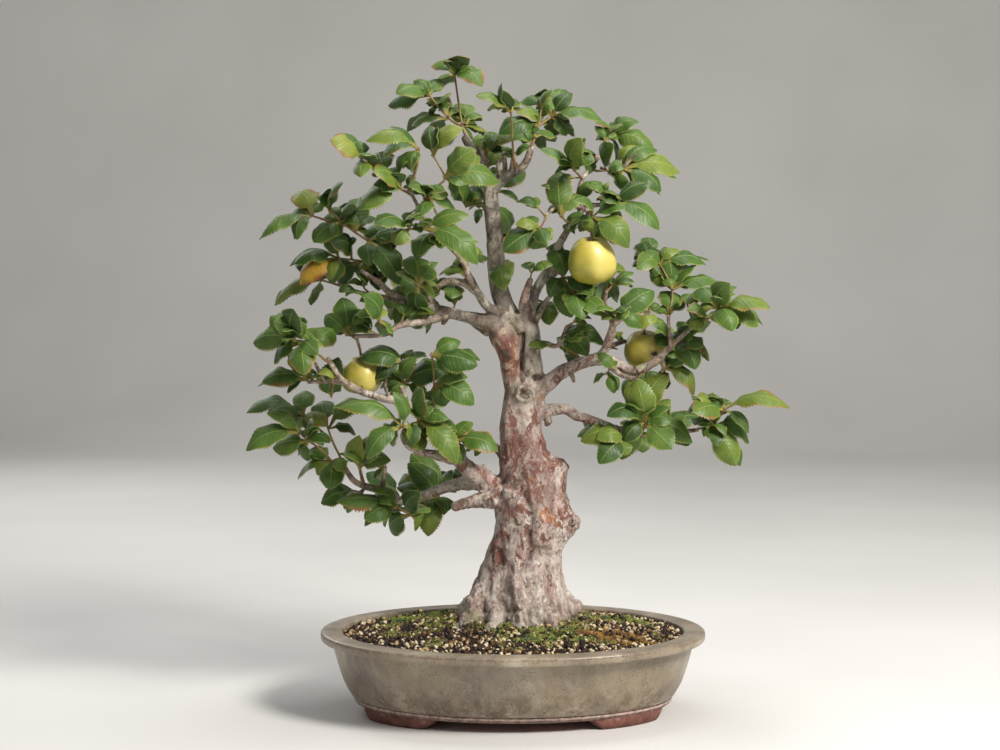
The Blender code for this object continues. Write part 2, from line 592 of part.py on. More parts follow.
def build_soil(home, cutters):
    """The soil fills the bowl and has a plain hole for the trunk's foot."""
    profile = ((44.6, FLOOR_TOP + SCREEN_THICK + 2 * GAP), (34.6, 32), (25.6, 57))
    rings = [oval(inset, z) for inset, z in profile]
    for k in range(SOIL_RINGS):
        share = 1 - k / SOIL_RINGS
        spots = [(point.x * share, point.y * share) for point in oval(SOIL_INSET, SOIL_RIM_HEIGHT)]
        rings.append([Vector((x, y, soil_height(x, y))) for x, y in spots])
    soil = mesh_object("soil", loft(rings), home, material("soil"))
    hole = [base_ring(z, 2 * GAP) for z in (HOLE_FLOOR, POT_HEIGHT + 60)]
    cutter = mesh_object("trunk_hole_cutter", loft(hole), cutters)
    cutter.hide_render = True
    cutter.display_type = "WIRE"
    cut = soil.modifiers.new("trunk_hole", "BOOLEAN")
    cut.operation = "DIFFERENCE"
    cut.object = cutter
    soil.modifiers.new("split", "TRIANGULATE")
    return soil


def build_moss(soil, home):
    """Each patch follows the soil's own faces, a little above them."""
    graph = bpy.context.evaluated_depsgraph_get()
    ground = bpy.data.meshes.new_from_object(soil.evaluated_get(graph))
    finishes = {kind: material(kind) for kind in ("moss", "rust_moss")}
    for name, (x, y, across, deep, kind) in MOSS.items():
        bm = bmesh.new()
        bm.from_mesh(ground)
        bmesh.ops.scale(bm, vec=(1 / MM, 1 / MM, 1 / MM), verts=bm.verts)
        gone = []
        for face in bm.faces:
            centre = face.calc_center_median()
            reach = math.hypot((centre.x - x) / across, (centre.y - y) / deep)
            if reach > 1 or face.normal.z < 0.4 or centre.z < SOIL_RIM_HEIGHT - 2:
                gone.append(face)
        bmesh.ops.delete(bm, geom=gone, context="FACES")
        bmesh.ops.translate(bm, verts=bm.verts, vec=(0, 0, GAP))
        top = bmesh.ops.extrude_face_region(bm, geom=bm.faces[:])
        for item in top["geom"]:
            if isinstance(item, bmesh.types.BMVert):
                reach = math.hypot((item.co.x - x) / across, (item.co.y - y) / deep)
                item.co.z += 1.2 + 2.6 * max(0.0, 1 - reach)
        bmesh.ops.recalc_face_normals(bm, faces=bm.faces)
        patch = mesh_object(name, bm, home, finishes[kind])
        keep_largest_body(patch.data)
    bpy.data.meshes.remove(ground)


def grow_limbs():
    """Each limb's points in space and radii, its foot on the limb that it grows from."""
    grown = {}
    for name, (end_depth, route) in LIMBS.items():
        places = [(column, row) for column, row, _ in route]
        start_depth = depth_near(*places[0], grown)
        points = spread_depth(places, start_depth, end_depth)
        grown[name] = (points, [radius for _, _, radius in route])
    return grown


def spread_depth(places, start_depth, end_depth):
    """Points in space along places of the view, their depth changing evenly on the way."""
    total = sum(math.dist(a, b) for a, b in zip(places, places[1:]))
    walked, points = 0.0, []
    for i, place in enumerate(places):
        if i:
            walked += math.dist(place, places[i - 1])
        points.append(at_view(*place, start_depth + (end_depth - start_depth) * walked / total))
    return points


def view_of(point):
    """Where the front view shows a point."""
    share = -EYE.y / (point.y - EYE.y)
    return (EYE.x + (point.x - EYE.x) * share + MIDDLE_COLUMN,
            GROUND_ROW - EYE.z - (point.z - EYE.z) * share)


def depth_near(column, row, grown, only=None):
    """The depth of the limb whose line passes nearest this place; the trunk's is 0."""
    on_trunk = column > TRUNK_COLUMN and row > TRUNK_TOP_ROW
    best, depth = (TRUNK_REACH if on_trunk else math.inf), 0.0
    for name, (points, _) in grown.items():
        if only and name != only:
            continue
        for spot in fine_route(points, 4.0):
            away = math.dist(view_of(spot), (column, row))
            if away < best - 0.01:
                best, depth = away, spot.y
    return depth


def build_wood(grown, home):
    """Trunk, limbs and fruit stalks as one body."""
    rings = [base_ring(HOLE_FLOOR + GAP)]
    for i, (row, left, right) in enumerate(TRUNK_ROWS):
        lobes = max(LEAST_LOBES, ROOT_LOBES - LOBES_LOST_A_ROW * i)
        z = GROUND_ROW - row
        rings.append(trunk_ring(left - MIDDLE_COLUMN, right - MIDDLE_COLUMN, z, lobes))
    pieces = [mesh_object("wood", loft(rings), home)]
    for name, (points, radii) in grown.items():
        resolution = SIDES_8 if radii[0] > 9.5 else SIDES_6 if radii[0] > 5.3 else SIDES_4
        pieces.append(tube(name, points, radii, resolution, home))
    for name, (middle, depth, _, height, end) in FRUITS.items():
        foot_point = at_view(*end, depth_near(*end, grown))
        seat = at_view(*middle, depth) + Vector((0, 0, height / 2 - STALK_CAVITY))
        bend = seat.lerp(foot_point, 0.2)
        bend.z = seat.z + 13
        points = [foot_point, bend, seat + Vector((0, 0, 6)), seat + Vector((0, 0, 2 * GAP))]
        pieces.append(tube(name + "_stalk", points, STALK_RADII, SIDES_4, home))
    return fuse("wood", pieces, home, material("bark"))


def build_fruit(name, home, finish):
    """A ripening quince: an egg of revolution, lightly ribbed, dished at both ends."""
    middle, depth, width, height, _ = FRUITS[name]
    centre = at_view(*middle, depth)
    rings = []
    for k in range(1, FRUIT_ROWS):
        tilt = math.pi * k / FRUIT_ROWS
        bulge = 1 - 0.10 * math.cos(tilt + 0.5 * math.pi) * math.cos(tilt)
        across = math.sin(tilt) ** 0.85 * width / 2 * bulge
        rings.append(fruit_ring(centre, across, -math.cos(tilt) * height / 2))
    low = [fruit_ring(centre, FRUIT_END_RADIUS, CALYX_CAVITY - height / 2)]
    high = [fruit_ring(centre, FRUIT_END_RADIUS, height / 2 - STALK_CAVITY)]
    return mesh_object(name, loft(low + rings + high), home, finish)


def fruit_ring(centre, across, height):
    """One ring of a fruit, with five faint ribs."""
    ring = []
    for i in range(FRUIT_SIDES):
        turn = 2 * math.pi * i / FRUIT_SIDES
        radius = across * (1 + 0.018 * math.cos(5 * turn + 0.4))
        ring.append(centre + Vector((radius * math.cos(turn), radius * math.sin(turn), height)))
    return ring


def leaf_sheet(foot_point, tip, facing, width, arch):
    """A leaf's blade and stalk as one toothed sheet, arched along its midrib."""
    axis = tip - foot_point
    length = axis.length
    axis.normalize()
    normal = (facing - axis * facing.dot(axis)).normalized()
    side = axis.cross(normal)
    stations = ((0.0, 0.8, 0.8), (0.2, 0.85, 0.85), (0.4, width * 0.5, width * 0.41),
                (0.57, width * 0.41, width * 0.5), (0.76, width * 0.42, width * 0.33),
                (1.0, 0.3, 0.3))
    bm = bmesh.new()
    bmesh.ops.create_grid(bm, x_segments=len(stations) - 1, y_segments=1, size=0.5)
    for vert in bm.verts:
        along, left, right = stations[round((vert.co.x + 0.5) * (len(stations) - 1))]
        rise = arch * 4 * along * (1 - along)
        across = left if vert.co.y > 0 else -right
        vert.co = foot_point + axis * length * along + side * across + normal * rise
    bmesh.ops.remove_doubles(bm, verts=bm.verts, dist=1.0)
    bmesh.ops.triangulate(bm, faces=bm.faces)
    return bm, normal


def leaf_body(foot_point, tip, facing, width, arch, thick):
    """The sheet made a closed blade of even thickness, alike on both faces."""
    bm, normal = leaf_sheet(foot_point, tip, facing, width, arch)
    grown = bmesh.ops.extrude_face_region(bm, geom=bm.faces[:])
    raised = [item for item in grown["geom"] if isinstance(item, bmesh.types.BMVert)]
    bmesh.ops.translate(bm, verts=raised, vec=normal * thick)
    bmesh.ops.translate(bm, verts=bm.verts, vec=normal * (-thick / 2))
    bmesh.ops.recalc_face_normals(bm, faces=bm.faces)
    return bm


def ring_round(point, ahead, radius, sides=8):
    """Points round a twig, to test its room."""
    across = ahead.orthogonal().normalized()
    other = ahead.normalized().cross(across)
    turns = [2 * math.pi * k / sides for k in range(sides)]
    return [point + (across * math.cos(turn) + other * math.sin(turn)) * radius for turn in turns]


def inside(tree, point):
    """Whether a point lies within the closed body of a search tree."""
    hits, start, way = 0, point, Vector((0.13, 0.21, 0.97)).normalized()
    for _ in range(40):
        found = tree.ray_cast(start, way)
        if found[0] is None:
            break
        hits += 1
        start = found[0] + way * 0.01
    return hits % 2 == 1


def room_at(tree, point):
    """Distance to a body's surface, negative inside it."""
    near = tree.find_nearest(point)
    distance = near[3]
    return -distance if inside(tree, point) else distance


def fine_route(points, step=1.0):
    fine = [points[0]]
    for a, b in zip(points, points[1:]):
        count = max(1, math.ceil((b - a).length / step))
        fine += [a.lerp(b, k / count) for k in range(1, count + 1)]
    return fine


def leave_wood(points, radius, wood_tree):
    """Seat a twig's foot square on the wood's surface, just clear of it."""
    step = 0.5
    fine = fine_route(points, step)
    start = 0
    for i, point in enumerate(fine[:-4]):
        if room_at(wood_tree, point) < radius + TWIG_RISE:
            start = i + 1
        elif i > start + 24:
            break
    rise = fine[start]
    seat = wood_tree.find_nearest(rise)[0]
    out = (rise - seat).normalized()
    gap = GAP
    while gap < 4 * GAP and min(room_at(wood_tree, spot)
                                for spot in ring_round(seat + out * gap, out, radius)) < GAP / 2:
        gap += GAP / 4
    kept, walked = [seat + out * gap, rise], 0.0
    for a, b in zip(points, points[1:]):
        walked += (b - a).length
        if walked > start * step + 3.0:
            kept.append(b)
    return kept


def build_shoots(grown, wood, others, home):
    """Every shoot with its twigs and leaves, kept clear of all that stands before it."""
    wood_tree = tree_of(wood)
    standing = [wood_tree] + [tree_of(other) for other in others]
    finishes = [material("leaf"), material("young_leaf")]
    for number, (name, (lean, twigs, spurs)) in enumerate(SHOOTS.items()):
        parent = None
        if name.startswith("back_"):
            parent = name + "_limb"
        elif name not in FORWARD_SHOOTS:
            lean += SPREAD * math.sin(GOLDEN_TURN * number) + SPREAD_BACK
        for shift in SHIFTS:
            routes = place_twigs(twigs, lean + shift, grown, wood_tree, standing, parent)
            if routes:
                break
        pieces = [tube(f"{name}_twig{k}", points, radii, SIDES_4, home)
                  for k, (points, radii) in enumerate(routes)]
        blades = []
        for spur, leaves in spurs.items():
            spur_point = nearest_on(routes, spur)
            for leaf in leaves:
                made = place_leaf(spur_point, leaf, lean, standing, blades)
                if made:
                    pieces.append(mesh_object(name + "_leaf", made[0], home))
                    blades.append(made[1])
        shoot = fuse("shoot_" + name, pieces, home, finishes[number % 2])
        standing.append(tree_of(shoot))


def place_twigs(twigs, lean, grown, wood_tree, standing, parent):
    """The shoot's twigs as (points, radii), or nothing where they would meet another piece."""
    routes = []
    for k, route in enumerate(twigs):
        if k == 0:
            start = depth_near(*route[0], grown, parent)
            foot_radius = TWIG_FOOT_RADIUS
            points = leave_wood(spread_depth(route, start, start + lean), foot_radius, wood_tree)
        else:
            start = nearest_on(routes, route[0]).y
            foot_radius = SIDE_TWIG_RADIUS
            points = spread_depth(route, start, start + lean * SIDE_LEAN)
        taper = (TWIG_TIP_RADIUS - foot_radius) / (len(points) - 1)
        radii = [foot_radius + taper * i for i in range(len(points))]
        for i, point in enumerate(fine_route(points, 2.0)):
            at_foot = k == 0 and i < 2
            for tree in standing:
                if at_foot and tree is wood_tree:
                    continue
                if tree.find_nearest(point, TWIG_ROOM)[0] is not None:
                    return None
        routes.append((points, radii))
    return routes


def nearest_on(routes, spot):
    """The point on the twigs that the view shows nearest this place."""
    best, found = 1e9, None
    for points, _ in routes:
        for point in fine_route(points, 1.0):
            away = math.dist(view_of(point), spot)
            if away < best:
                best, found = away, point
    return found


def place_leaf(spur_point, leaf, lean, standing, own):
    """A leaf whose tip shows at its place of the view, turned until it is clear."""
    column, row, face = leaf
    rng = random.Random(SEED + 1000 * column + row)
    seen = math.dist(view_of(spur_point), (column, row))
    length = max(LEAF_LENGTH * rng.uniform(0.9, 1.05), seen * 1.03)
    length = min(length, max(seen * 1.5, LEAST_LEAF))
    away = math.sqrt(max(length * length - seen * seen, 0.0))
    forward = -1 if rng.random() < (0.75 if lean < 0 else 0.25) else 1
    width = min(LEAF_WIDTH, length * 0.56)
    for attempt in range(LEAF_TRIES):
        turn = forward if attempt % 2 == 0 else -forward
        share = 1.0 - 0.06 * (attempt // 2)
        jitter = Vector((rng.uniform(-1, 1), 0, rng.uniform(-1, 1))) * (attempt * 0.5)
        tip = at_view(column, row, spur_point.y + turn * away * share) + jitter
        facing = Vector((rng.uniform(-0.25, 0.25), -0.25 - face / 9, 1.05 - face / 10))
        facing += Vector((rng.uniform(-1, 1), rng.uniform(-1, 1), 0)) * (0.03 * attempt)
        arch = rng.uniform(1.5, 4.0)
        test = leaf_body(spur_point, tip, facing, width, arch, BLADE_THICK + LEAF_ROOM)
        whole = BVHTree.FromBMesh(test)
        reach = (tip - spur_point).normalized()
        petiole = [vert for vert in test.verts
                   if (vert.co - spur_point).dot(reach) < length * PETIOLE_SHARE]
        bmesh.ops.delete(test, geom=petiole, context="VERTS")
        blade = BVHTree.FromBMesh(test)
        test.free()
        meets_own = any(other.overlap(blade) for other in own)
        if any(tree.overlap(whole) for tree in standing) or meets_own and attempt < LEAF_TRIES - 8:
            continue
        return leaf_body(spur_point, tip, facing, width, arch, BLADE_THICK), blade
    return None


def main():
    clear_scene()
    home = new_collection("quince_bonsai")
    cutters = new_collection("cutters")
    build_pot(home, cutters)
    build_screens(home)
    soil = build_soil(home, cutters)
    build_moss(soil, home)
    grown = grow_limbs()
    wood = build_wood(grown, home)
    fruit_finish = material("fruit")
    fruits = [build_fruit(name, home, fruit_finish) for name in FRUITS]
    build_shoots(grown, wood, fruits, home)


main()
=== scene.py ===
"""Chinese quince bonsai in an oval glazed pot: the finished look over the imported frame.

Pieces are worked out in millimetres and become metres when they are made.  +Z is up and the
front looks toward -Y.  The tree is laid out on its front view, 1000 wide and 750 high, where
one step is one millimetre at the trunk; a place in it is (column, row), and a depth behind the
trunk's plane makes it a point in space, as in the part's source.
"""

import math
import random

import bmesh
import bpy
from mathutils import Matrix, Vector, noise
from mathutils.bvhtree import BVHTree
from mathutils.kdtree import KDTree


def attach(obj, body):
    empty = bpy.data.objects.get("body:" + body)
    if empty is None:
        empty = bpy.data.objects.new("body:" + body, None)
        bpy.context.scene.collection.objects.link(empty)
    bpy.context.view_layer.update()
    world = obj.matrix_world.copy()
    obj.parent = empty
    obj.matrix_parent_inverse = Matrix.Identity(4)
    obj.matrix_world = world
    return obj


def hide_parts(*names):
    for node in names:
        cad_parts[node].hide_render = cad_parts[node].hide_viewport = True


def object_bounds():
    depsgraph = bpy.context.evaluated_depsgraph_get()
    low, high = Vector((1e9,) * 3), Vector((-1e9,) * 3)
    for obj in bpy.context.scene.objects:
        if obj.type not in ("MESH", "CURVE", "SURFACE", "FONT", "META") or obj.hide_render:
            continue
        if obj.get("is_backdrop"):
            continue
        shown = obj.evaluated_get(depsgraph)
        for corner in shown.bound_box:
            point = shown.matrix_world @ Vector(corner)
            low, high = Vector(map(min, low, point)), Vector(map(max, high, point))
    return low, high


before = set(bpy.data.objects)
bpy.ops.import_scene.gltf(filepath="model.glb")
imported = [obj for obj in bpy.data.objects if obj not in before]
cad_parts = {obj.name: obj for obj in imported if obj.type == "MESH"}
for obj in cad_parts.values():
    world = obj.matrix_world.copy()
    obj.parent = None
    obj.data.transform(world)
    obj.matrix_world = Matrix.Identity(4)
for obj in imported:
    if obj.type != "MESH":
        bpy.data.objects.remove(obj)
CAD_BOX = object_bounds()

MM = 0.001
SEED = 41
FULL_TURN = 2 * math.pi

# Front view
MIDDLE_COLUMN, GROUND_ROW = 513.0, 711.0
EYE = Vector((-13.0, -1800.0, 436.0))
CAMERA_DIP = math.radians(3.08)
LENS, SENSOR = 64.8, 36.0

# Studio: the floor's half width, front and back edge, the radius of its sweep and the wall's
# height, then each light's place and size in metres, power and colour
FLOOR_HALF, FLOOR_FRONT, FLOOR_BACK = 6000, -3500, 2600
SWEEP, SWEEP_STEPS, WALL_HEIGHT = 900, 8, 4200
SKY_LIGHT = 0.22
LIGHTS_MEET = Vector((0, 0, 0.3))
LIGHTS = {
    "key": ((1.45, -1.4, 1.8), 0.7, 90, (1.0, 0.97, 0.93)),
    "fill": ((-1.9, -1.4, 1.1), 1.6, 3.5, (0.94, 0.97, 1.0)),
    "back": ((-1.3, 1.9, 1.5), 1.4, 16, (0.97, 0.98, 1.0)),
    "top": ((0.1, 0.2, 2.3), 1.1, 22, (1.0, 1.0, 1.0)),
}

# Pot, with its wall as (inset from the lip's edge, height), from the middle of its underside
# over the lip to the middle of its floor
POT_HALF_WIDTH, POT_HALF_DEPTH, POT_HEIGHT = 193.5, 145.0, 83.0
RING_INSET, FOOT_HEIGHT, FRONT_LEAN, LIP_HEIGHT = 32.5, 10.5, 10.8, 10.0
POT_SIDES = 128
POT_PROFILE = [
    (52, 10.5), (38, 10.5), (36.6, 10.5), (35.6, 10.7), (34.4, 11.6), (33.2, 13.2), (32.7, 14.6),
    (32.8, 15.6), (33.4, 16.1), (33.7, 16.5), (33.2, 16.9), (31.6, 17.6), (30.7, 18.6), (29.9, 19.8),
    (28, 23), (24.9, 28.6), (22.8, 33), (20, 41), (17.2, 50), (14.8, 58.5), (12.9, 66), (11.9, 70.6),
    (11.3, 73), (10.4, 73.7), (8.4, 73.9), (3.4, 74.1), (1.3, 74.4), (0.5, 75.1), (0.1, 76.4),
    (0, 78.4), (0.1, 80.2), (0.4, 81.6), (1.3, 82.5), (2.8, 82.9), (6.5, 83), (13, 82.9),
    (19.6, 82.8), (20.8, 82.5), (21.4, 81.7), (21.7, 80), (22.4, 74), (25, 57), (29, 44), (34, 32),
    (40, 25.4), (46, 21.2), (52, 21), (74, 21)]
FOOT_START, FOOT_END = math.radians(20), math.radians(61)
FOOT_CUTS, FOOT_ROWS = 23, 4
FOOT_ROLL_START, FOOT_ROLL_LENGTH = 0.72, 0.28
# A foot's inset from the ring's and what its ends add, its depth at the ends and what its middle
# adds, its belly, its rounded edge, how far it goes into the ring and its lift off the ground
FOOT_INSET, FOOT_ENDS_INSET, FOOT_DEPTH, FOOT_SWELL = 2.2, 2.4, 9, 7.6
FOOT_BELLY, FOOT_ROUNDING, FOOT_OVERLAP, FOOT_BOTTOM = 0.8, 1.5, 1.6, 0.02
DRAIN_OFFSET, DRAIN_RADIUS = 78.0, 12.5
DRILL_SIDES, DRILL_LENGTH, DRILL_MIDDLE = 48, 30, 14

# Soil: the gap between solids and the floor of the trunk's hole, then the soil's rim, mound and
# wall as (further inset, height), the loose grains' count and sizes, which of them are pale, and
# the oval round the trunk that they keep off
GAP, HOLE_FLOOR = 0.4, 86.0
SOIL_RIM_HEIGHT, SOIL_INSET = 77.0, 22.3
MOUND_HEIGHT, MOUND_REACH, MOUND_OVAL, MOUND_FALL, MOUND_X = 23.0, 125.0, 0.8, 1.5, 4
SOIL_WALL, SOIL_SUNK = ((12, 32), (4, 56)), 0.6
SOIL_RINGS, SOIL_SIDES = 26, 96
GRAIN_SETS, GRAINS, GRAIN_SIZES = 2, 4000, (0.8, 1.0, 1.3, 1.6, 2.1)
GRAIN_SPREAD, GRAIN_LENGTHS, GRAIN_HEIGHTS = (0.85, 1.2), (0.8, 1.4), (0.6, 0.9)
PALE_SHADE, PALE_LARGER, PALE_FRONT, PALER, DARK_BIAS = 0.8, 1.25, -66, 0.1, 1.9
PALE_CLUMP_SCALE, PALE_CLUMP, GRAIN_SEAT, GRAIN_LIFT = 0.03, 0.2, 0.35, 0.9
GRAIN_LUMPS, ON_MOSS_SHARE = (0.78, 1.16), 0.4
LUMP_SCALE, LUMP_LAYER, LUMP_HEIGHT = 0.09, 3, 1.6
TRUNK_FOOT_X, TRUNK_CLEAR = 3.5, (50, 40)

# Moss patches, as in the solids: middle, half sizes, how high the cushion stands and its kind
MOSS = {
    "moss_back_left": (-100, 42, 34, 18, 7.5, "moss"),
    "moss_left": (-70, -8, 20, 24, 4.5, "moss"),
    "moss_front": (33, -66, 34, 18, 4.5, "moss"),
    "moss_front_right": (100, -52, 34, 18, 5.5, "rust_moss"),
    "moss_back_right": (108, 28, 30, 16, 6.0, "moss"),
}
MOSS_SHADES = {
    "moss": ("green_moss", (40, 52, 14), (92, 112, 34), (164, 172, 72)),
    "rust_moss": ("rust_moss", (64, 38, 14), (140, 94, 36), (188, 150, 62)),
    "dry_moss": ("dry_moss", (66, 46, 20), (112, 96, 36), (138, 146, 58)),
}
SPRIGS, LOOSE_WISPS = 2600, 15000
CUSHION_RINGS, CUSHION_SIDES, CUSHION_EDGE = 14, 48, 0.97
# Where noise makes cushions lumpy and sprigs pale, and sprigs and wisps thick, as (scale, layer)
CUSHION_LUMPS, SPRIG_CLUMPS, WISP_PATCHES, WISP_TINTS = (0.09, 1), (0.13, 5), (0.045, 8), (0.06, 2)
CUSHION_SUNK, SPRIG_REACH, SPRIG_LIFT, WISP_LIFTS = 1.6, 1.12, 1.2, (0.6, 3.0)
SPRIG_RADII, SPRIG_LENGTH, SPRIG_MIDDLE, SPRIG_TOP = (0.5, 0.05), 2.0, 0.7, 1.7
# Loose wisps are thickest inside this oval round the trunk's foot and keep out of the inner share
# of it; wisps and sprigs draw how far they lean, in radians, and their size.
WISPS_AROUND, WISP_CLEAR = (66, 54), 0.62
WISP_LEAN, WISP_SIZES, SPRIG_LEAN, SPRIG_SIZES, SPRIG_TIP = 1.2, (0.8, 2.2), 0.8, (0.6, 1.25), 0.25

# The trunk's left and right edge in the front view at each row.
TRUNK_ROWS = [
    (609, 457, 576), (601, 464, 570), (591, 470, 565), (580, 477, 561), (566, 483, 559),
    (550, 489, 561), (530, 495, 576), (518, 496, 579), (504, 494, 570), (490, 495, 566),
    (474, 500, 567), (460, 499, 565), (447, 501, 547), (425, 499, 542), (404, 502, 543),
    (386, 505, 546), (374, 507, 540)]
TRUNK_SIDES, TRUNK_DEPTH_SHARE = 48, 0.86
TRUNK_COLUMN, TRUNK_TOP_ROW, TRUNK_REACH = 494, 372, 6.0
ROOT_LOBES, LOBES_LOST_A_ROW, LEAST_LOBES = 0.34, 0.06, 0.08
# Limbs thicker than this join the trunk's skin, which is remeshed in steps of this many metres.
SKIN_RADIUS, SKIN_STEP, QUICK_SKIN_STEP, SKIN_SMOOTHINGS = 3.3, 0.0014, 0.0022, 3

# The trunk widens below the soil's surface, and roots as (x, y, z, radius) run off its foot.
ROOT_FLARE = 4.0
ROOTS = [
    [(42, -8, 110, 10), (56, -12, 106, 9), (62, -14, 108, 7.5), (66, -15, 111, 6)],
    [(-34, -16, 106, 11), (-46, -28, 95, 9), (-58, -40, 84, 6)],
    [(6, -30, 106, 11), (7, -42, 96, 9), (9, -54, 84, 6)],
    [(30, -26, 105, 10), (39, -38, 95, 8), (48, -50, 84, 5)],
    [(-14, -28, 106, 9), (-20, -41, 95, 8), (-28, -54, 84, 5)],
    [(-34, 18, 107, 10), (-48, 30, 96, 8), (-60, 42, 85, 5)],
    [(6, 30, 107, 10), (8, 44, 96, 8), (4, 58, 85, 5)],
    [(36, 20, 107, 10), (50, 32, 97, 8), (64, 44, 85, 5)]]

# Each limb: depth of its end, then (column, row, radius) from its foot outward.
LIMBS = {
    "left_limb": (-6, [(519, 395, 13), (512, 368, 10.5), (510, 350, 12.5), (503, 335, 13),
        (494, 322, 11), (480, 317, 7.5), (460, 312, 5.8), (440, 307, 5.5), (425, 304, 4.5),
        (405, 298, 4), (392, 291, 3.6), (377, 278, 2.8), (362, 268, 2)]),
    "right_stem": (4, [(531, 402, 14), (533, 370, 10.8), (531, 350, 10), (529, 335, 10.5),
        (526, 322, 11)]),
    "pale_limb": (-55, [(524, 322, 8), (512, 314, 6.5), (500, 310, 6), (487, 303, 5), (478, 290, 4.4),
        (469, 273, 3.8), (463, 258, 3), (447, 240, 2.6), (430, 226, 2.1), (420, 207, 1.8),
        (412, 191, 1.6)]),
    "leader": (8, [(524, 324, 10), (509, 310, 10), (501, 292, 9.8), (497, 270, 9.5), (496, 250, 9),
        (494, 225, 8.4), (491, 200, 7.8), (491, 182, 7)]),
    "leader_left_fork": (26, [(492, 188, 6.4), (484, 168, 6), (475, 152, 5), (465, 136, 4)]),
    "leader_right_fork": (-18, [(491, 190, 5.8), (500, 180, 5), (511, 172, 4.6), (520, 167, 4),
        (527, 158, 3.6), (531, 146, 3)]),
    "upright_limb": (-22, [(526, 326, 7), (531, 308, 5.2), (535, 290, 5), (544, 274, 5.6),
        (553, 267, 7), (554, 254, 5), (562, 236, 4), (571, 222, 3.4), (585, 205, 2.8), (599, 202, 2.2),
        (611, 200, 1.8)]),
    "upright_strand": (-14, [(524, 320, 5), (523, 300, 4), (530, 277, 3)]),
    "upright_top": (28, [(580, 211, 2.6), (578, 192, 2.4), (583, 175, 2.1), (598, 155, 1.8),
        (607, 138, 1.5)]),
    "upright_side": (-34, [(584, 206, 2.4), (562, 201, 2), (545, 213, 1.6)]),
    "right_branch": (-14, [(534, 392, 9), (546, 382, 8.5), (560, 370, 7.4), (572, 364, 6.5),
        (585, 358, 6), (603, 355, 5.6), (620, 362, 5.5), (637, 368, 5), (657, 357, 4), (672, 342, 2.5),
        (694, 322, 1.8)]),
    "right_fork": (-44, [(599, 355, 5), (607, 342, 4.4), (613, 321, 3.6), (605, 302, 2.4),
        (606, 289, 1.8)]),
    "right_fork_top": (-28, [(613, 322, 3), (623, 315, 2.4), (637, 312, 2.1), (650, 311, 1.9)]),
    "right_low_twig": (-34, [(603, 357, 3.5), (620, 371, 2.6), (637, 376, 2)]),
    "right_dark_limb": (34, [(604, 352, 3.6), (609, 344, 3), (625, 338, 2)]),
    "low_right": (8, [(533, 412, 9), (546, 408, 7), (565, 406, 5.6), (577, 413, 5), (600, 420, 4.2),
        (615, 425, 3.8), (630, 432, 3.5), (660, 431, 2.5), (698, 427, 2)]),
    "knee_twig": (-16, [(532, 342, 4), (544, 340, 2.9), (558, 342, 2.3), (567, 323, 1.7)]),
    "low_left": (-46, [(517, 507, 16), (498, 488, 13), (485, 479, 11), (470, 468, 9.2), (460, 458, 8),
        (447, 440, 7), (437, 430, 6.6), (428, 418, 6.3), (415, 407, 6), (400, 398, 5), (382, 395, 4),
        (365, 390, 3.7), (352, 384, 3.5), (340, 375, 3), (328, 356, 2.4)]),
    "low_left_fork": (-6, [(348, 381, 2.8), (330, 378, 2.2), (308, 379, 1.7)]),
    "low_left_bend": (-52, [(459, 458, 7), (435, 452, 5), (420, 449, 4.4), (408, 442, 4), (403, 434, 3),
        (405, 426, 2.2)]),
    "base_limb": (32, [(506, 488, 12), (486, 482, 9), (468, 480, 8), (445, 485, 6), (430, 491, 5.5),
        (413, 497, 5), (398, 498, 4.5), (382, 488, 4), (365, 484, 3.5), (352, 477, 3.1), (341, 460, 2.5)]),
    "cut_limb": (-26, [(505, 500, 12), (490, 496, 9), (470, 500, 6.5), (455, 504, 5)]),
    "back_arc": (46, [(506, 455, 6), (497, 446, 4.4), (480, 436, 3), (465, 442, 2)]),
    "left_prong_low": (-44, [(452, 311, 4.4), (425, 318, 3.8), (400, 322, 3.2), (389, 329, 2.8),
        (378, 332, 2.5), (353, 333, 2)]),
    "left_prong_high": (30, [(400, 296, 3.2), (385, 294, 2.6), (358, 289, 2.2), (340, 281, 1.8)]),
    "upper_left": (28, [(434, 305, 4), (430, 293, 3.2), (420, 277, 3), (404, 261, 2.8)]),
    "back_left_limb": (120, [(480, 317, 6), (466, 314, 5), (450, 310, 4), (430, 305, 3)]),
    "back_right_limb": (115, [(556, 374, 6), (585, 360, 5), (610, 358, 4), (636, 366, 3)]),
    "back_top_limb": (92, [(496, 262, 6), (498, 245, 5), (494, 225, 4), (492, 205, 3)]),
    "back_low_limb": (105, [(585, 414, 4), (604, 421, 3.6), (630, 431, 3)]),
    "back_base_limb": (108, [(478, 481, 6), (452, 484, 4.6), (424, 493, 3)]),
}

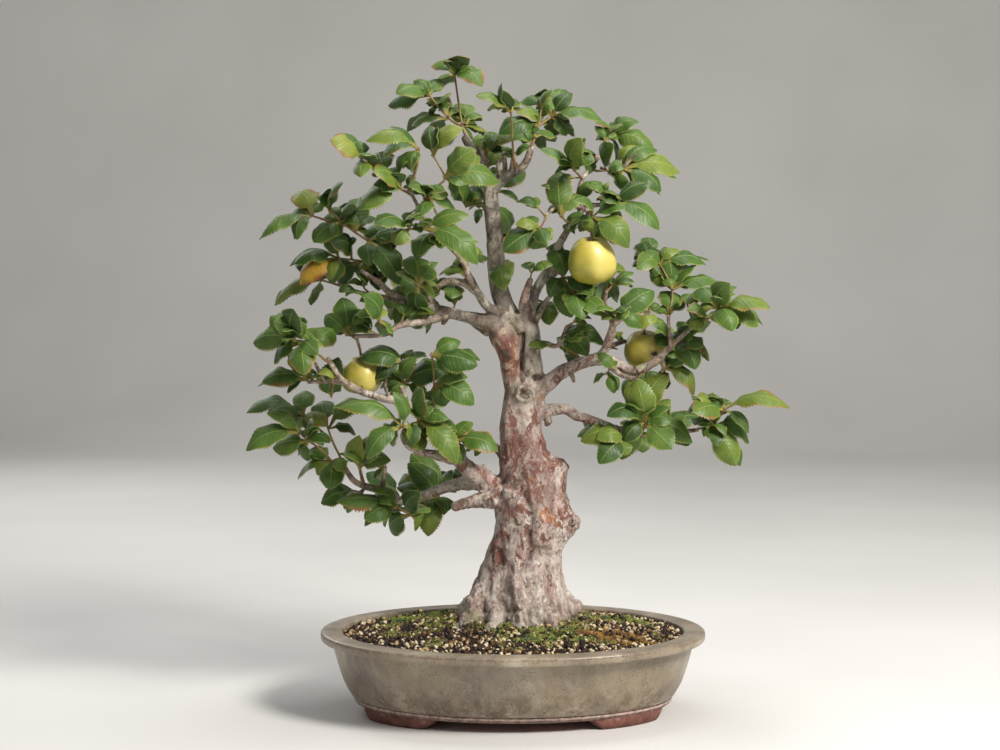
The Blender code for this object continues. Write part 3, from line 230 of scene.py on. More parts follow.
# Old spurs and cut stubs too small for the solids, as (column, row, radius) from the wood.
SPURS = [
    [(476, 288, 4.6), (466, 281, 4.2), (455, 278, 4), (446, 279, 3.4), (438, 283, 2.4)],
    [(511, 170, 3.2), (513, 160, 2.6), (514, 151, 2.2)],
    [(506, 178, 3), (505, 164, 2.4), (504, 151, 2)], [(499, 184, 3), (499, 172, 2.2), (498, 158, 1.8)],
    [(661, 356, 2.2), (664, 364, 2), (662, 369, 1.6)],
    [(671, 343, 2), (669, 327, 1.7), (668, 313, 1.5)], [(545, 410, 5), (548, 418, 4.4), (547, 421, 3)],
    [(409, 403, 2.6), (405, 394, 2.2), (401, 384, 1.9)],
    [(533, 322, 4.4), (539, 311, 3.4), (545, 299, 2.6), (551, 292, 1.8)],
    [(326, 380, 1.9), (320, 370, 1.8), (315, 360, 1.5)],
    [(364, 485, 2), (361, 474, 1.8), (359, 465, 1.6)],
    [(382, 489, 2), (384, 476, 1.8), (385, 464, 1.5)],
    [(366, 484, 2), (359, 490, 1.8), (351, 489, 1.5)],
    [(600, 165, 1.7), (610, 168, 1.8), (620, 167, 1.6), (635, 152, 1.3)],
    [(487, 160, 2.4), (482, 152, 2), (480, 144, 1.6)],
    [(566, 366, 2.6), (572, 372, 2.4), (574, 378, 1.9)],
    [(444, 306, 3), (446, 314, 3.4), (443, 320, 2.2)],
    [(470, 316, 3.4), (478, 324, 3.2), (487, 331, 2.6)],
    [(438, 304, 3), (430, 296, 2.6), (427, 286, 2.2)], [(390, 395, 2), (385, 385, 1.6), (386, 377, 1.3)]]

# Marks on the front of the trunk: furrows as (line, half width, depth, darkness), root ridges as
# (line, half width, height), swellings and hollows as (column, row, radius, height), and healed
# cuts as (column, row, half width, half height, rim, depth, darkness). The darkness is painted
# shade in the furrows, the hollows and the cuts' pits, whose dark whorls are partly the cuts' own.
FURROWS = [
    ([(503, 479), (512, 483), (521, 489), (527, 500), (531, 515), (530, 545),
      (527, 572)], 4.6, 3.2, 0.8),
    ([(500, 604), (502, 585), (500, 562), (505, 538)], 4.6, 2.4, 0.6),
    ([(530, 608), (529, 590), (525, 572)], 4.6, 3.6, 0.8),
    ([(553, 604), (549, 585), (545, 566)], 4.2, 2.0, 0.6),
    ([(483, 607), (488, 588), (493, 566)], 4.2, 2.4, 0.6),
    ([(512, 608), (510, 594)], 3.4, 2.2, 0.6),
    ([(541, 468), (546, 490), (550, 512)], 4.0, 1.2, 0.4),
    ([(522, 330), (523, 346), (523, 366), (519, 378)], 2.0, 5.4, 1.8),
    ([(498, 486), (505, 497), (508, 512)], 3.6, 1.6, 0.6),
]
RIDGES = [
    ([(462, 610), (474, 592), (486, 566), (492, 545)], 7.0, 2.4),
    ([(492, 612), (495, 592), (497, 566)], 6.0, 2.2),
    ([(519, 614), (519, 598), (516, 574), (513, 548)], 7.5, 2.8),
    ([(542, 612), (540, 592), (537, 566)], 6.0, 2.4),
    ([(572, 608), (563, 592), (556, 570), (552, 548)], 7.5, 2.6),
    ([(534, 326), (532, 350), (531, 366)], 7.0, 2.2),
    ([(513, 366), (510, 348), (503, 332)], 8.5, 2.0),
]
SWELLINGS = [
    (572, 520, 10, 3.4), (561, 466, 9, 3.2), (566, 500, 6, 1.6), (557, 483, 5, 1.4),
    (488, 498, 5.5, 2.6), (482, 467, 6.5, 2.4), (506, 490, 10, 2.0), (552, 512, 8, 1.4),
    (525, 391, 12, 1.6), (518, 606, 9, 2.2), (549, 603, 8, 2.0), (474, 604, 9, 2.0), (553, 267, 7, 1.4),
    (526, 326, 10, 1.6), (600, 356, 7, 1.2), (458, 460, 7, 1.2), (568, 600, 8, 1.8), (548, 440, 9, 1.2),
    (503, 540, 9, 1.6), (541, 540, 9, 1.4)]
HOLLOWS = [
    (566, 460, 3, 1.6), (575, 528, 3.2, 1.8), (516, 308, 3, 1.6), (508, 610, 4, 3.0),
    (530, 612, 5, 3.6), (484, 610, 5, 3.0), (556, 610, 4, 2.6), (515, 520, 4, 1.4), (538, 500, 3.4, 1.4)]
SCARS = [
    (525, 391, 8.4, 6.4, 2.2, 2.6, 1.1), (537, 374, 6.4, 4.4, 1.6, 5.4, 2.4),
    (488, 500, 5.6, 5.4, 1.6, 2.4, 1.0), (574, 522, 6.0, 7.0, 0.5, 2.0, 0.7),
    (485, 470, 5.0, 4.0, 1.2, 1.4, 0.7)]
# Marks stray by the wobble, lie where the skin faces the front, and fade off so much faster than
# their radius; a cut's marks end at its reach.
# The trunk's foot is rough below the first height and smooth above the next, and its relief
# fades toward the last.
WOBBLE, FRONT_NORMAL, MARK_FALL, SCAR_REACH = 4.2, 0.25, 1.6, 2.2
ROUGH_TOP, ROUGH_FADE, RELIEF_TOP, RELIEF_FADE, LEAST_RELIEF = 160, 62, 347, 110, 0.2

# Where colours gather on the bark: column, row, half sizes and share, the last set being painted
# shade on the limbs inside the crown; then the lines of the fork's salmon and grey strips.
PATCHES = {
    "rust": [(530, 452, 38, 36, 1.0), (508, 508, 8, 9, 0.9), (500, 552, 7, 16, 0.8),
        (540, 388, 8, 10, 0.5), (506, 388, 6, 14, 0.7), (543, 492, 16, 14, 0.8), (522, 536, 9, 12, 0.5),
        (478, 312, 16, 8, 0.8), (497, 245, 8, 20, 0.5), (462, 497, 14, 8, 0.5), (640, 366, 14, 8, 0.5),
        (585, 358, 8, 6, 0.4)],
    "amber": [(550, 512, 15, 9, 1.0), (561, 490, 8, 12, 0.9), (541, 392, 6, 10, 0.8),
        (503, 386, 5, 9, 0.7), (516, 502, 9, 7, 0.6), (548, 432, 6, 10, 0.5), (478, 470, 9, 6, 0.5),
        (533, 478, 10, 6, 0.5)],
    "inner_limb_shade": [(590, 410, 34, 12, 0.9), (640, 418, 30, 14, 0.9), (462, 499, 20, 8, 0.9),
        (400, 315, 40, 22, 0.6), (650, 366, 30, 20, 0.7), (575, 362, 16, 10, 0.5),
        (430, 470, 34, 26, 0.6), (480, 314, 14, 8, 0.5)],
}
# The first layer is painted shade in the trunk's furrows, hollows, cut pits and troughs, and the last is
# painted shade on the limbs inside the crown.
BARK_LAYERS = ("groove_shade", "salmon", "grey", "lichen", "rust", "amber", "inner_limb_shade")
SALMON_STRIP = [(511, 362), (509, 345), (502, 330), (491, 321)]
GREY_STRIP = [(535, 366), (532, 350), (530, 330)]

# Branches: how many sides, how long a step and how knotted, then how spurs and fruit stalks
# bend, and the radii of the smallest
LIMB_FORM, THIN_FORM = (14, 3.0, 0.1), (10, 2.6, 0.22)
ROOT_FORM, SPUR_FORM = (12, 3.0, 0.25), (9, 2.2, 0.3)
STALK_FORM, TWIG_FORM, SIDE_TWIG_FORM = (10, 2.0, 0.15), (8, 2.4, 0.25), (7, 2.4, 0.2)
HIND_TWIG_FORM, TUFT_TWIG_FORM = (6, 4.0, 0.2), (6, 3.0, 0.2)
SPUR_LEANS, STALK_BEND, STALK_RISE, STALK_STRAIGHT = (4, -12), 0.2, 13, 6
STALK_RADII, SIDE_TWIG_RADII = [1.8, 1.5, 1.4, 1.6], [1.4, 1.1, 0.9]
HIND_TWIG_RADII, TUFT_TWIG_RADII = [1.1, 0.9, 0.7], [1.2, 0.8]

# Fruit: middle in the view, depth, width, height, and the limb end that its stalk leaves.
FRUITS = {
    "fruit_upper": ((591, 257), -42, 47, 47, (586, 206)),
    "fruit_right": ((644, 346), 22, 42, 39, (650, 312)),
    "fruit_left": ((361, 372), 14, 41, 38, (356, 333)),
}
CALYX_CAVITY, STALK_CAVITY = 3.5, 4.5
FRUIT_NOD, FRUIT_SIDES, FRUIT_ROWS = math.radians(16), 64, 40
BRUISE_COLUMN, BRUISE_ROW = 655, 351

# Leaves and their twigs, as in the part's source
LEAF_LENGTH, LEAF_WIDTH, LEAST_LEAF = 44.0, 25.0, 30.0
SPREAD, SPREAD_BACK, GOLDEN_TURN = 40.0, 12.0, 2.4
LEAF_TRIES = 26
TWIG_FOOT_RADIUS, TWIG_TIP_RADIUS, TWIG_RISE = 1.6, 1.1, 1.6
TWIG_RADIUS, TWIG_TAPER, SIDE_LEAN = 1.55, 0.6, 0.4
# A twig's route in small steps: how many stay past the wood, after how many clear ones the search
# ends, how deep its foot is seated, and the least way from where it rises to its next point
TWIG_STEP, LAST_STEPS, CLEAR_STEPS, TWIG_SEAT, LEAST_WAY = 0.5, 4, 24, 1.2, 3.0
LEAF_SLIMNESS = 0.56
# A leaf's length as a share of the usual one, its least and most length for what is seen of it,
# how often it turns to its shoot's side, and how much less each further try turns
LENGTH_SHARES, LEAST_SLANT, MOST_SLANT, WITH_LEAN, LESS_TURN = (0.9, 1.05), 1.03, 1.5, 0.75, 0.06
# The solids try these shifts of a shoot's lean; the forward shoots keep the lean they are given.
SHIFTS = (0, -5, 5, -10, 10, -16, 16, -24, 24)
FORWARD_SHOOTS = ("pale_low", "pale_forward", "upright_left_spur", "upright_knee", "base_under",
                  "upright_fruit_leaf", "low_left_front", "base_inner", "low_right_end")

# Leaves of this look: a blade's stations and stalk share, its teeth and notches as shares of the
# half width and of the length, how far leaves may reach in x, y and z, and the share of leaves
# with a small leaf or a hind leaf beside them
LEAF_STEPS, STALK_SHARE, FIRST_STEP = 15, 0.2, 0.21
TOOTH_OUT, TOOTH_FORWARD, NOTCH_IN = 1.07, 0.02, 0.93
BLADE_THICK, STALK_THICK = 0.42, 1.1
LEAF_FULLER, SMALL_LEAF_SHARE, HIND_LEAF_SHARE = 1.08, 0.85, 0.5
LEAF_LAYERS = ("tone", "turned", "under")
LEAF_REACH_Y, ARCH_TOP, LEAST_ARCH, ARCH_UPRIGHT = 141.0, 652, 1.5, 0.9
# Each leaf draws how high it arches, as a share of its length, how far its sides hang, its bend
# to a side, how far its end curls down and the height of its margin's waves; then its tone.
ARCHES, HANGS, SWAYS, CURLS, WAVES = (0.08, 0.24), (0.15, 0.6), (-2.2, 2.2), (0, 5.0), (0.6, 1.8)
TONE_MIDDLE, TONE_SPREAD, TURNED_SHARE, MOST_TURNED = 0.45, 0.17, 0.45, 0.6
CURL_START, CURL_GAIN, FULL_WAVE_HALF, MARGIN_WAVE, SIDES_APART = 0.6, 6, 13, 15, 1.9
HIND_FOOT_Y, HIND_Y, HIND_LEFT, HIND_RIGHT, HIND_TOP = 116, 136.0, -266.0, 262.0, 640.0

# A small leaf's share of its neighbour, its turn away from it, how steeply it may hang and its
# fuller width; how far back hind leaves sit, the share of that at their tips and how far those
# stray, their narrower width and their darker tones, painted shade for the leaves at the back
SMALL_SIZES, SMALL_TURNS, SMALL_BACK = (0.5, 0.82), (0.5, 1.15), (-6, 14)
SMALL_DROOP, SMALL_FULLER, HIND_NARROWER = 0.6, 1.05, 0.95
HIND_BACK, HIND_TIP_BACK, HIND_STRAY, HIND_SHADED_TONES = (22, 50), (0.8, 1.2), (-7, 7), (0.18, 0.4)

# Tufts of small leaves: how far apart, on limbs up to which radius, how many places bear one,
# the box of x, depth and height for their feet and tips, and what they keep off a fruit
TUFT_SPACING, TUFT_LIMB_RADIUS, TUFT_SHARE = 15.0, 4.3, 0.62
TUFT_FOOT_BOX, TUFT_TIP_BOX = (-262, 258, 132, 642), (-268, 264, 136, 648)
TUFT_OFF_FRUIT, TUFT_BEHIND_FRUIT = 26, 20
TUFT_RISES, TUFT_LEAVES, TUFT_LENGTHS = (3, 8), (2, 4), (14, 25)
BARE_LIMBS = ("low_right", "base_limb")

# Leafy shoots: lean, twigs, and leaves by the spur they leave, as tip column, tip row and how
# far the blade faces the front, 0 on edge to 9 full.
SHOOTS = {
    "crown_left": (6, [[(467, 140), (461, 115), (455, 74)], [(461, 124), (448, 115), (430, 94)]], {
        (455, 74): [(461, 52, 6), (482, 84, 7)], (430, 94): [(388, 102, 5), (397, 91, 5), (442, 77, 6)],
        (441, 107): [(430, 101, 6), (447, 94, 6)], (448, 116): [(456, 107, 4)],
        (461, 124): [(489, 132, 4)]}),
    "crown_right": (-8, [[(530, 150), (538, 124), (541, 107)], [(538, 124), (551, 115)]], {
        (535, 136): [(514, 127, 8), (555, 134, 5)], (538, 124): [(499, 131, 8)],
        (541, 107): [(520, 98, 5), (552, 90, 6)], (551, 115): [(560, 87, 8), (601, 117, 4)]}),
    "crown_middle": (-14, [[(516, 170), (513, 150), (511, 111)]], {(511, 111): [(513, 98, 6)]}),
    "leader_spur": (-22, [[(484, 168), (487, 150)]], {(487, 150): [(478, 132, 6), (507, 149, 5)]}),
    "pale_forward": (-10, [[(420, 206), (436, 185), (445, 175), (434, 154)]], {
        (445, 175): [(474, 147, 9), (500, 178, 8)], (434, 154): [(462, 125, 5)],
        (427, 198): [(458, 206, 5), (413, 181, 7)]}),
    "pale_outer": (-4, [[(413, 193), (388, 178), (362, 156)], [(408, 190), (417, 165), (419, 148)]], {
        (362, 156): [(332, 137, 7)], (371, 163): [(365, 151, 6), (361, 174, 5)],
        (386, 177): [(378, 149, 6)], (400, 187): [(360, 204, 4), (377, 167, 7)],
        (418, 156): [(401, 160, 8)], (419, 148): [(367, 138, 4)]}),
    "pale_low": (-18, [[(434, 229), (424, 226)], [(424, 226), (410, 226)]], {
        (424, 226): [(417, 212, 6), (478, 259, 9)], (410, 226): [(376, 219, 4), (411, 213, 6)]}),
    "left_top_outer": (-12, [
        [(406, 263), (385, 248), (355, 229), (331, 209)], [(345, 223), (313, 213)]], {
        (313, 213): [(261, 230, 4), (297, 189, 7)], (331, 209): [(343, 181, 5)],
        (342, 219): [(314, 239, 7)], (355, 229): [(360, 193, 8)], (368, 238): [(400, 280, 9)],
        (385, 248): [(370, 222, 6)]}),
    "left_top_inner": (-26, [[(412, 270), (390, 262), (362, 258), (339, 255)]], {
        (339, 255): [(300, 281, 7)], (352, 257): [(331, 236, 8)], (362, 258): [(338, 284, 9)]}),
    "left_prong_end": (-14, [[(346, 284), (322, 277)]], {(322, 277): [(273, 300, 4)]}),
    "left_limb_hanging": (-24, [[(428, 290), (418, 282)]], {(418, 282): [(420, 308, 8), (411, 250, 6)]}),
    "upright_left_spur": (-18, [[(550, 211), (546, 214), (540, 226)]], {
        (540, 226): [(510, 232, 7), (503, 248, 7), (546, 240, 5), (527, 239, 5)]}),
    "upright_knee": (-24, [[(556, 266), (563, 274), (574, 291)]], {
        (563, 274): [(596, 298, 8), (571, 314, 8)], (574, 291): [(582, 316, 6)]}),
    "upright_fruit_spur": (-22, [[(571, 222), (561, 214)]], {(561, 214): [(558, 167, 9), (552, 203, 6)]}),
    "upright_fruit_leaf": (-30, [[(586, 206), (592, 214)]], {(592, 214): [(629, 242, 7), (577, 195, 5)]}),
    "upright_top_left": (-12, [[(582, 176), (574, 168)]], {(574, 168): [(577, 138, 8)]}),
    "upright_top_end": (-6, [[(606, 142), (609, 132)]], {(608, 135): [(597, 120, 6), (640, 150, 8)]}),
    "upright_top_right": (-6, [[(589, 168), (606, 168), (622, 167)]], {
        (606, 168): [(612, 142, 8), (623, 185, 5)], (622, 167): [(679, 170, 7), (661, 186, 4)]}),
    "upright_end": (-4, [[(604, 202), (616, 200)]], {(614, 200): [(659, 226, 5), (610, 188, 8)]}),
    "right_fork_end": (-12, [[(606, 290), (614, 270)]], {(610, 270): [(597, 292, 5), (620, 265, 6)]}),
    "right_fork_spur": (-26, [[(612, 322), (617, 312)]], {(617, 312): [(654, 286, 8), (625, 308, 6)]}),
    "knee_end": (-8, [[(560, 340), (562, 334)]], {
        (562, 336): [(606, 338, 6), (572, 353, 8), (587, 350, 5)]}),
    "right_upper": (-6, [[(671, 345), (669, 313), (672, 287), (660, 262)]], {
        (669, 313): [(670, 286, 9)], (672, 287): [(683, 264, 8), (722, 280, 4)],
        (660, 262): [(706, 259, 4), (636, 247, 8), (637, 265, 7)]}),
    "right_end": (-6, [[(690, 326), (706, 317), (718, 306)]], {(706, 317): [(690, 305, 6)],
        (718, 306): [(697, 285, 7), (727, 281, 8), (770, 303, 4), (743, 317, 8), (733, 327, 7)]}),
    "right_under": (-20, [[(672, 343), (682, 339)]], {
        (682, 339): [(702, 343, 7), (686, 356, 8), (710, 355, 4), (688, 321, 7)]}),
    "low_right_middle": (-22, [[(642, 432), (646, 420)]], {
        (646, 420): [(636, 375, 7), (668, 369, 7), (673, 446, 8)]}),
    "low_right_inner": (-20, [[(618, 427), (624, 436)]], {(624, 436): [(582, 436, 7), (600, 460, 9)]}),
    "low_right_end": (-30, [[(692, 427), (713, 423), (724, 407)]], {
        (713, 423): [(750, 440, 6), (738, 462, 8), (718, 442, 7), (700, 393, 5)],
        (724, 407): [(790, 402, 4), (694, 409, 8), (724, 400, 6)]}),
    "low_left_end": (-10, [[(331, 362), (312, 346), (294, 336)]], {
        (294, 336): [(252, 338, 8), (293, 307, 9)], (302, 340): [(304, 369, 6), (272, 358, 7)],
        (312, 346): [(308, 328, 7), (334, 326, 9)]}),
    "low_left_fork_end": (-4, [[(314, 379), (304, 377)]], {(306, 377): [(262, 377, 6), (304, 369, 6)]}),
    "left_prong_low_end": (-8, [[(358, 333), (347, 332)]], {(349, 332): [(342, 293, 8), (329, 314, 5)]}),
    "left_prong_low_spur": (-18, [[(389, 329), (380, 319)]], {
        (380, 319): [(365, 292, 7), (355, 313, 5), (393, 331, 5)]}),
    "low_left_upper": (-16, [[(407, 400), (403, 381), (405, 361)]], {
        (403, 381): [(445, 365, 8), (382, 378, 6)], (405, 361): [(360, 352, 5)]}),
    "low_left_rising": (-12, [[(431, 421), (434, 382), (432, 352)]], {
        (434, 382): [(474, 401, 8), (437, 401, 8)], (432, 352): [(477, 361, 7)]}),
    "low_left_knee": (-22, [[(449, 442), (457, 436)]], {
        (456, 437): [(498, 446, 5), (461, 415, 6), (473, 427, 6)]}),
    "low_left_front": (-26, [[(416, 408), (418, 418)]], {
        (418, 418): [(443, 441, 5), (418, 388, 7), (457, 460, 7)]}),
    "bend_end": (-20, [[(404, 431), (403, 424)]], {(403, 424): [(389, 443, 9)]}),
    "base_upper": (-10, [[(344, 464), (332, 438), (327, 424)], [(332, 438), (303, 413)]], {
        (327, 424): [(322, 396, 8)],
        (303, 413): [(305, 387, 7), (268, 410, 6), (246, 409, 4), (293, 427, 6)]}),
    "base_outer": (-18, [[(353, 478), (338, 468), (324, 450), (308, 438), (299, 430)]], {
        (299, 430): [(245, 447, 6)], (308, 438): [(272, 445, 8)],
        (331, 459): [(329, 486, 8), (297, 476, 4)]}),
    "base_middle": (-22, [[(362, 484), (359, 466)]], {(359, 466): [(378, 432, 8), (346, 451, 5)]}),
    "base_inner": (-30, [[(440, 487), (437, 497)]], {
        (437, 497): [(409, 461, 8), (427, 532, 9), (411, 450, 7)]}),
    "base_under": (-16, [[(392, 493), (396, 507), (410, 513)]], {
        (396, 507): [(364, 516, 8), (336, 499, 4)], (410, 513): [(390, 533, 9), (419, 490, 7)]}),
    "back_left": (6, [[(438, 307), (424, 303), (408, 297)]], {
        (424, 303): [(400, 270, 5), (432, 268, 4), (402, 322, 5)],
        (408, 297): [(372, 290, 6), (388, 266, 5), (380, 312, 4)]}),
    "back_right": (20, [[(628, 364), (646, 367), (660, 356)]], {
        (646, 367): [(640, 330, 5), (662, 395, 5), (628, 398, 4)],
        (660, 356): [(690, 330, 5), (668, 320, 6), (700, 358, 4)]}),
    "back_top": (20, [[(493, 212), (494, 190), (484, 172)]], {
        (494, 190): [(525, 168, 5), (470, 205, 5), (462, 178, 4)],
        (484, 172): [(478, 132, 5), (452, 150, 4), (512, 145, 5)]}),
    "back_low": (16, [[(622, 429), (642, 432), (662, 430)]], {
        (642, 432): [(640, 395, 5), (622, 455, 4)],
        (662, 430): [(700, 412, 5), (668, 396, 4), (692, 440, 5)]}),
    "back_base": (16, [[(432, 490), (414, 497), (400, 496)]], {
        (414, 497): [(418, 462, 5), (430, 524, 5)],
        (400, 496): [(366, 470, 5), (384, 524, 4), (372, 505, 5)]}),
}

# Further leaves that only this look has, by the shoot they go with: the spur's column and row,
# then tip column, tip row, facing and how far behind the spur's own depth the leaf sits.
MORE_LEAVES = {
    "crown_left": [(455, 74, 434, 62, 3, 0), (448, 117, 411, 122, 3, 0), (466, 122, 464, 102, 6, 8),
        (466, 122, 479, 113, 3, 0)],
    "crown_middle": [(511, 111, 478, 92, 4, 0), (511, 111, 489, 107, 3, 0), (487, 150, 520, 133, 3, 0)],
    "crown_right": [(551, 115, 572, 134, 3, 0), (551, 115, 557, 133, 6, 6), (538, 122, 518, 110, 5, 4),
        (538, 122, 545, 106, 5, 8)],
    "pale_outer": [(419, 148, 384, 152, 3, 0)],
    "pale_forward": [(424, 196, 443, 186, 4, 6), (432, 200, 421, 211, 4, 0)],
    "leader_spur": [(466, 204, 460, 172, 6, 20), (466, 204, 486, 181, 6, 20)],
    "left_top_outer": [(342, 220, 350, 200, 5, 8), (354, 228, 363, 215, 4, 6),
        (394, 248, 383, 233, 4, 6)],
    "left_top_inner": [(339, 255, 294, 260, 3, 0), (339, 255, 325, 262, 5, 16),
        (375, 266, 378, 284, 6, 4), (375, 266, 362, 262, 5, 10)],
    "left_prong_end": [(322, 277, 322, 271, 4, 6)],
    "pale_low": [(434, 229, 418, 252, 5, 30)],
    "upright_left_spur": [(509, 235, 499, 205, 6, 34), (497, 259, 504, 284, 8, 4),
        (546, 245, 565, 271, 8, 10)],
    "left_limb_hanging": [(470, 258, 455, 262, 5, 10), (468, 276, 440, 270, 4, 40),
        (422, 303, 396, 318, 5, 30), (422, 303, 428, 330, 6, 16), (455, 283, 452, 293, 4, 24)],
    "upright_knee": [(545, 300, 549, 320, 6, 24), (577, 299, 602, 309, 3, 0)],
    "low_left_end": [(293, 336, 283, 327, 3, 0), (297, 342, 260, 341, 4, 20), (312, 346, 301, 340, 5, 8)],
    "left_prong_low_end": [(350, 331, 362, 305, 5, 10)],
    "low_left_upper": [(405, 360, 423, 348, 4, 20), (403, 383, 385, 363, 5, 8)],
    "low_left_rising": [(428, 410, 437, 397, 5, 12)],
    "low_left_knee": [(456, 437, 434, 418, 4, 22)],
    "bend_end": [(402, 424, 340, 404, 4, 6)],
    "base_upper": [(328, 426, 372, 400, 4, 8), (303, 413, 324, 421, 4, 0)],
    "base_outer": [(308, 438, 312, 420, 6, 8), (308, 438, 328, 437, 3, 0)],
    "low_left_fork_end": [(331, 394, 333, 374, 6, 26), (331, 394, 338, 356, 6, 34)],
    "base_middle": [(384, 468, 362, 460, 3, 0), (362, 490, 320, 500, 5, 20), (362, 490, 347, 503, 4, 22)],
    "base_inner": [(439, 496, 448, 507, 3, 0), (412, 434, 424, 447, 7, 10)],
    "right_fork_end": [(608, 286, 631, 283, 3, 0)],
    "right_fork_spur": [(615, 316, 600, 303, 3, 0), (650, 311, 643, 323, 6, 18)],
    "knee_end": [(575, 352, 573, 362, 5, 8)],
    "right_upper": [(672, 287, 664, 243, 8, 10), (672, 287, 687, 275, 6, 12), (651, 257, 640, 238, 5, 8)],
    "right_end": [(717, 306, 759, 320, 5, 8), (706, 317, 692, 320, 4, 4), (684, 293, 694, 301, 4, 16)],
    "right_under": [(670, 335, 652, 318, 6, 24), (682, 339, 696, 363, 4, 6), (664, 366, 697, 390, 5, 0)],
    "low_right_middle": [(645, 419, 693, 437, 6, 6), (645, 419, 608, 412, 4, 0),
        (645, 419, 652, 405, 4, 6)],
    "low_right_end": [(713, 424, 695, 422, 3, 0)],
    "upright_top_left": [(595, 158, 575, 158, 5, 6), (575, 168, 543, 143, 3, 0),
        (575, 168, 563, 156, 4, 4)],
    "upright_top_end": [(608, 136, 654, 150, 8, 8), (608, 136, 620, 123, 3, 0)],
    "upright_top_right": [(622, 166, 664, 163, 6, 8)],
    "upright_end": [(601, 200, 614, 199, 6, 8)],
    "upright_fruit_leaf": [(597, 222, 622, 238, 7, 36), (597, 222, 580, 226, 5, 30)],
}

# Leaves with a colour of their own, by tip: shade from dark 0 to yellow-green 1, and how far
# the margin has turned.
TINTS = {
    (434, 62): (0.55, 0.85), (461, 52): (0.5, 0.9), (482, 84): (0.5, 0.88), (377, 167): (0.62, 0.7),
    (343, 181): (0.5, 0.7), (262, 377): (0.4, 0.6), (461, 415): (0.5, 0.88), (336, 499): (0.5, 0.8),
    (443, 441): (0.5, 0.6), (694, 409): (0.6, 0.6), (790, 402): (0.66, 0.8), (597, 120): (0.45, 0.88),
    (552, 90): (0.6, 0.5), (520, 133): (0.72, 0.4), (332, 137): (0.86, 0.82), (297, 189): (0.84, 0.85),
    (300, 281): (0.9, 1.0), (770, 303): (0.64, 0.5), (668, 369): (0.66, 0.3), (620, 123): (0.66, 0.3),
    (474, 147): (0.6, 0.1), (500, 178): (0.55, 0.1), (478, 259): (0.5, 0.1), (629, 242): (0.6, 0.2),
    (596, 298): (0.5, 0.1), (654, 150): (0.55, 0.1), (640, 150): (0.6, 0.1), (498, 446): (0.5, 0.6),
    (473, 427): (0.5, 0.4), (457, 460): (0.6, 0.3), (411, 213): (0.4, 0.2)}


def srgb(red, green, blue):
    """A colour seen as these 0 to 255 values, as the shader wants it."""
    def straight(value):
        value /= 255
        return value / 12.92 if value <= 0.04045 else ((value + 0.055) / 1.055) ** 2.4
    return (straight(red), straight(green), straight(blue), 1.0)


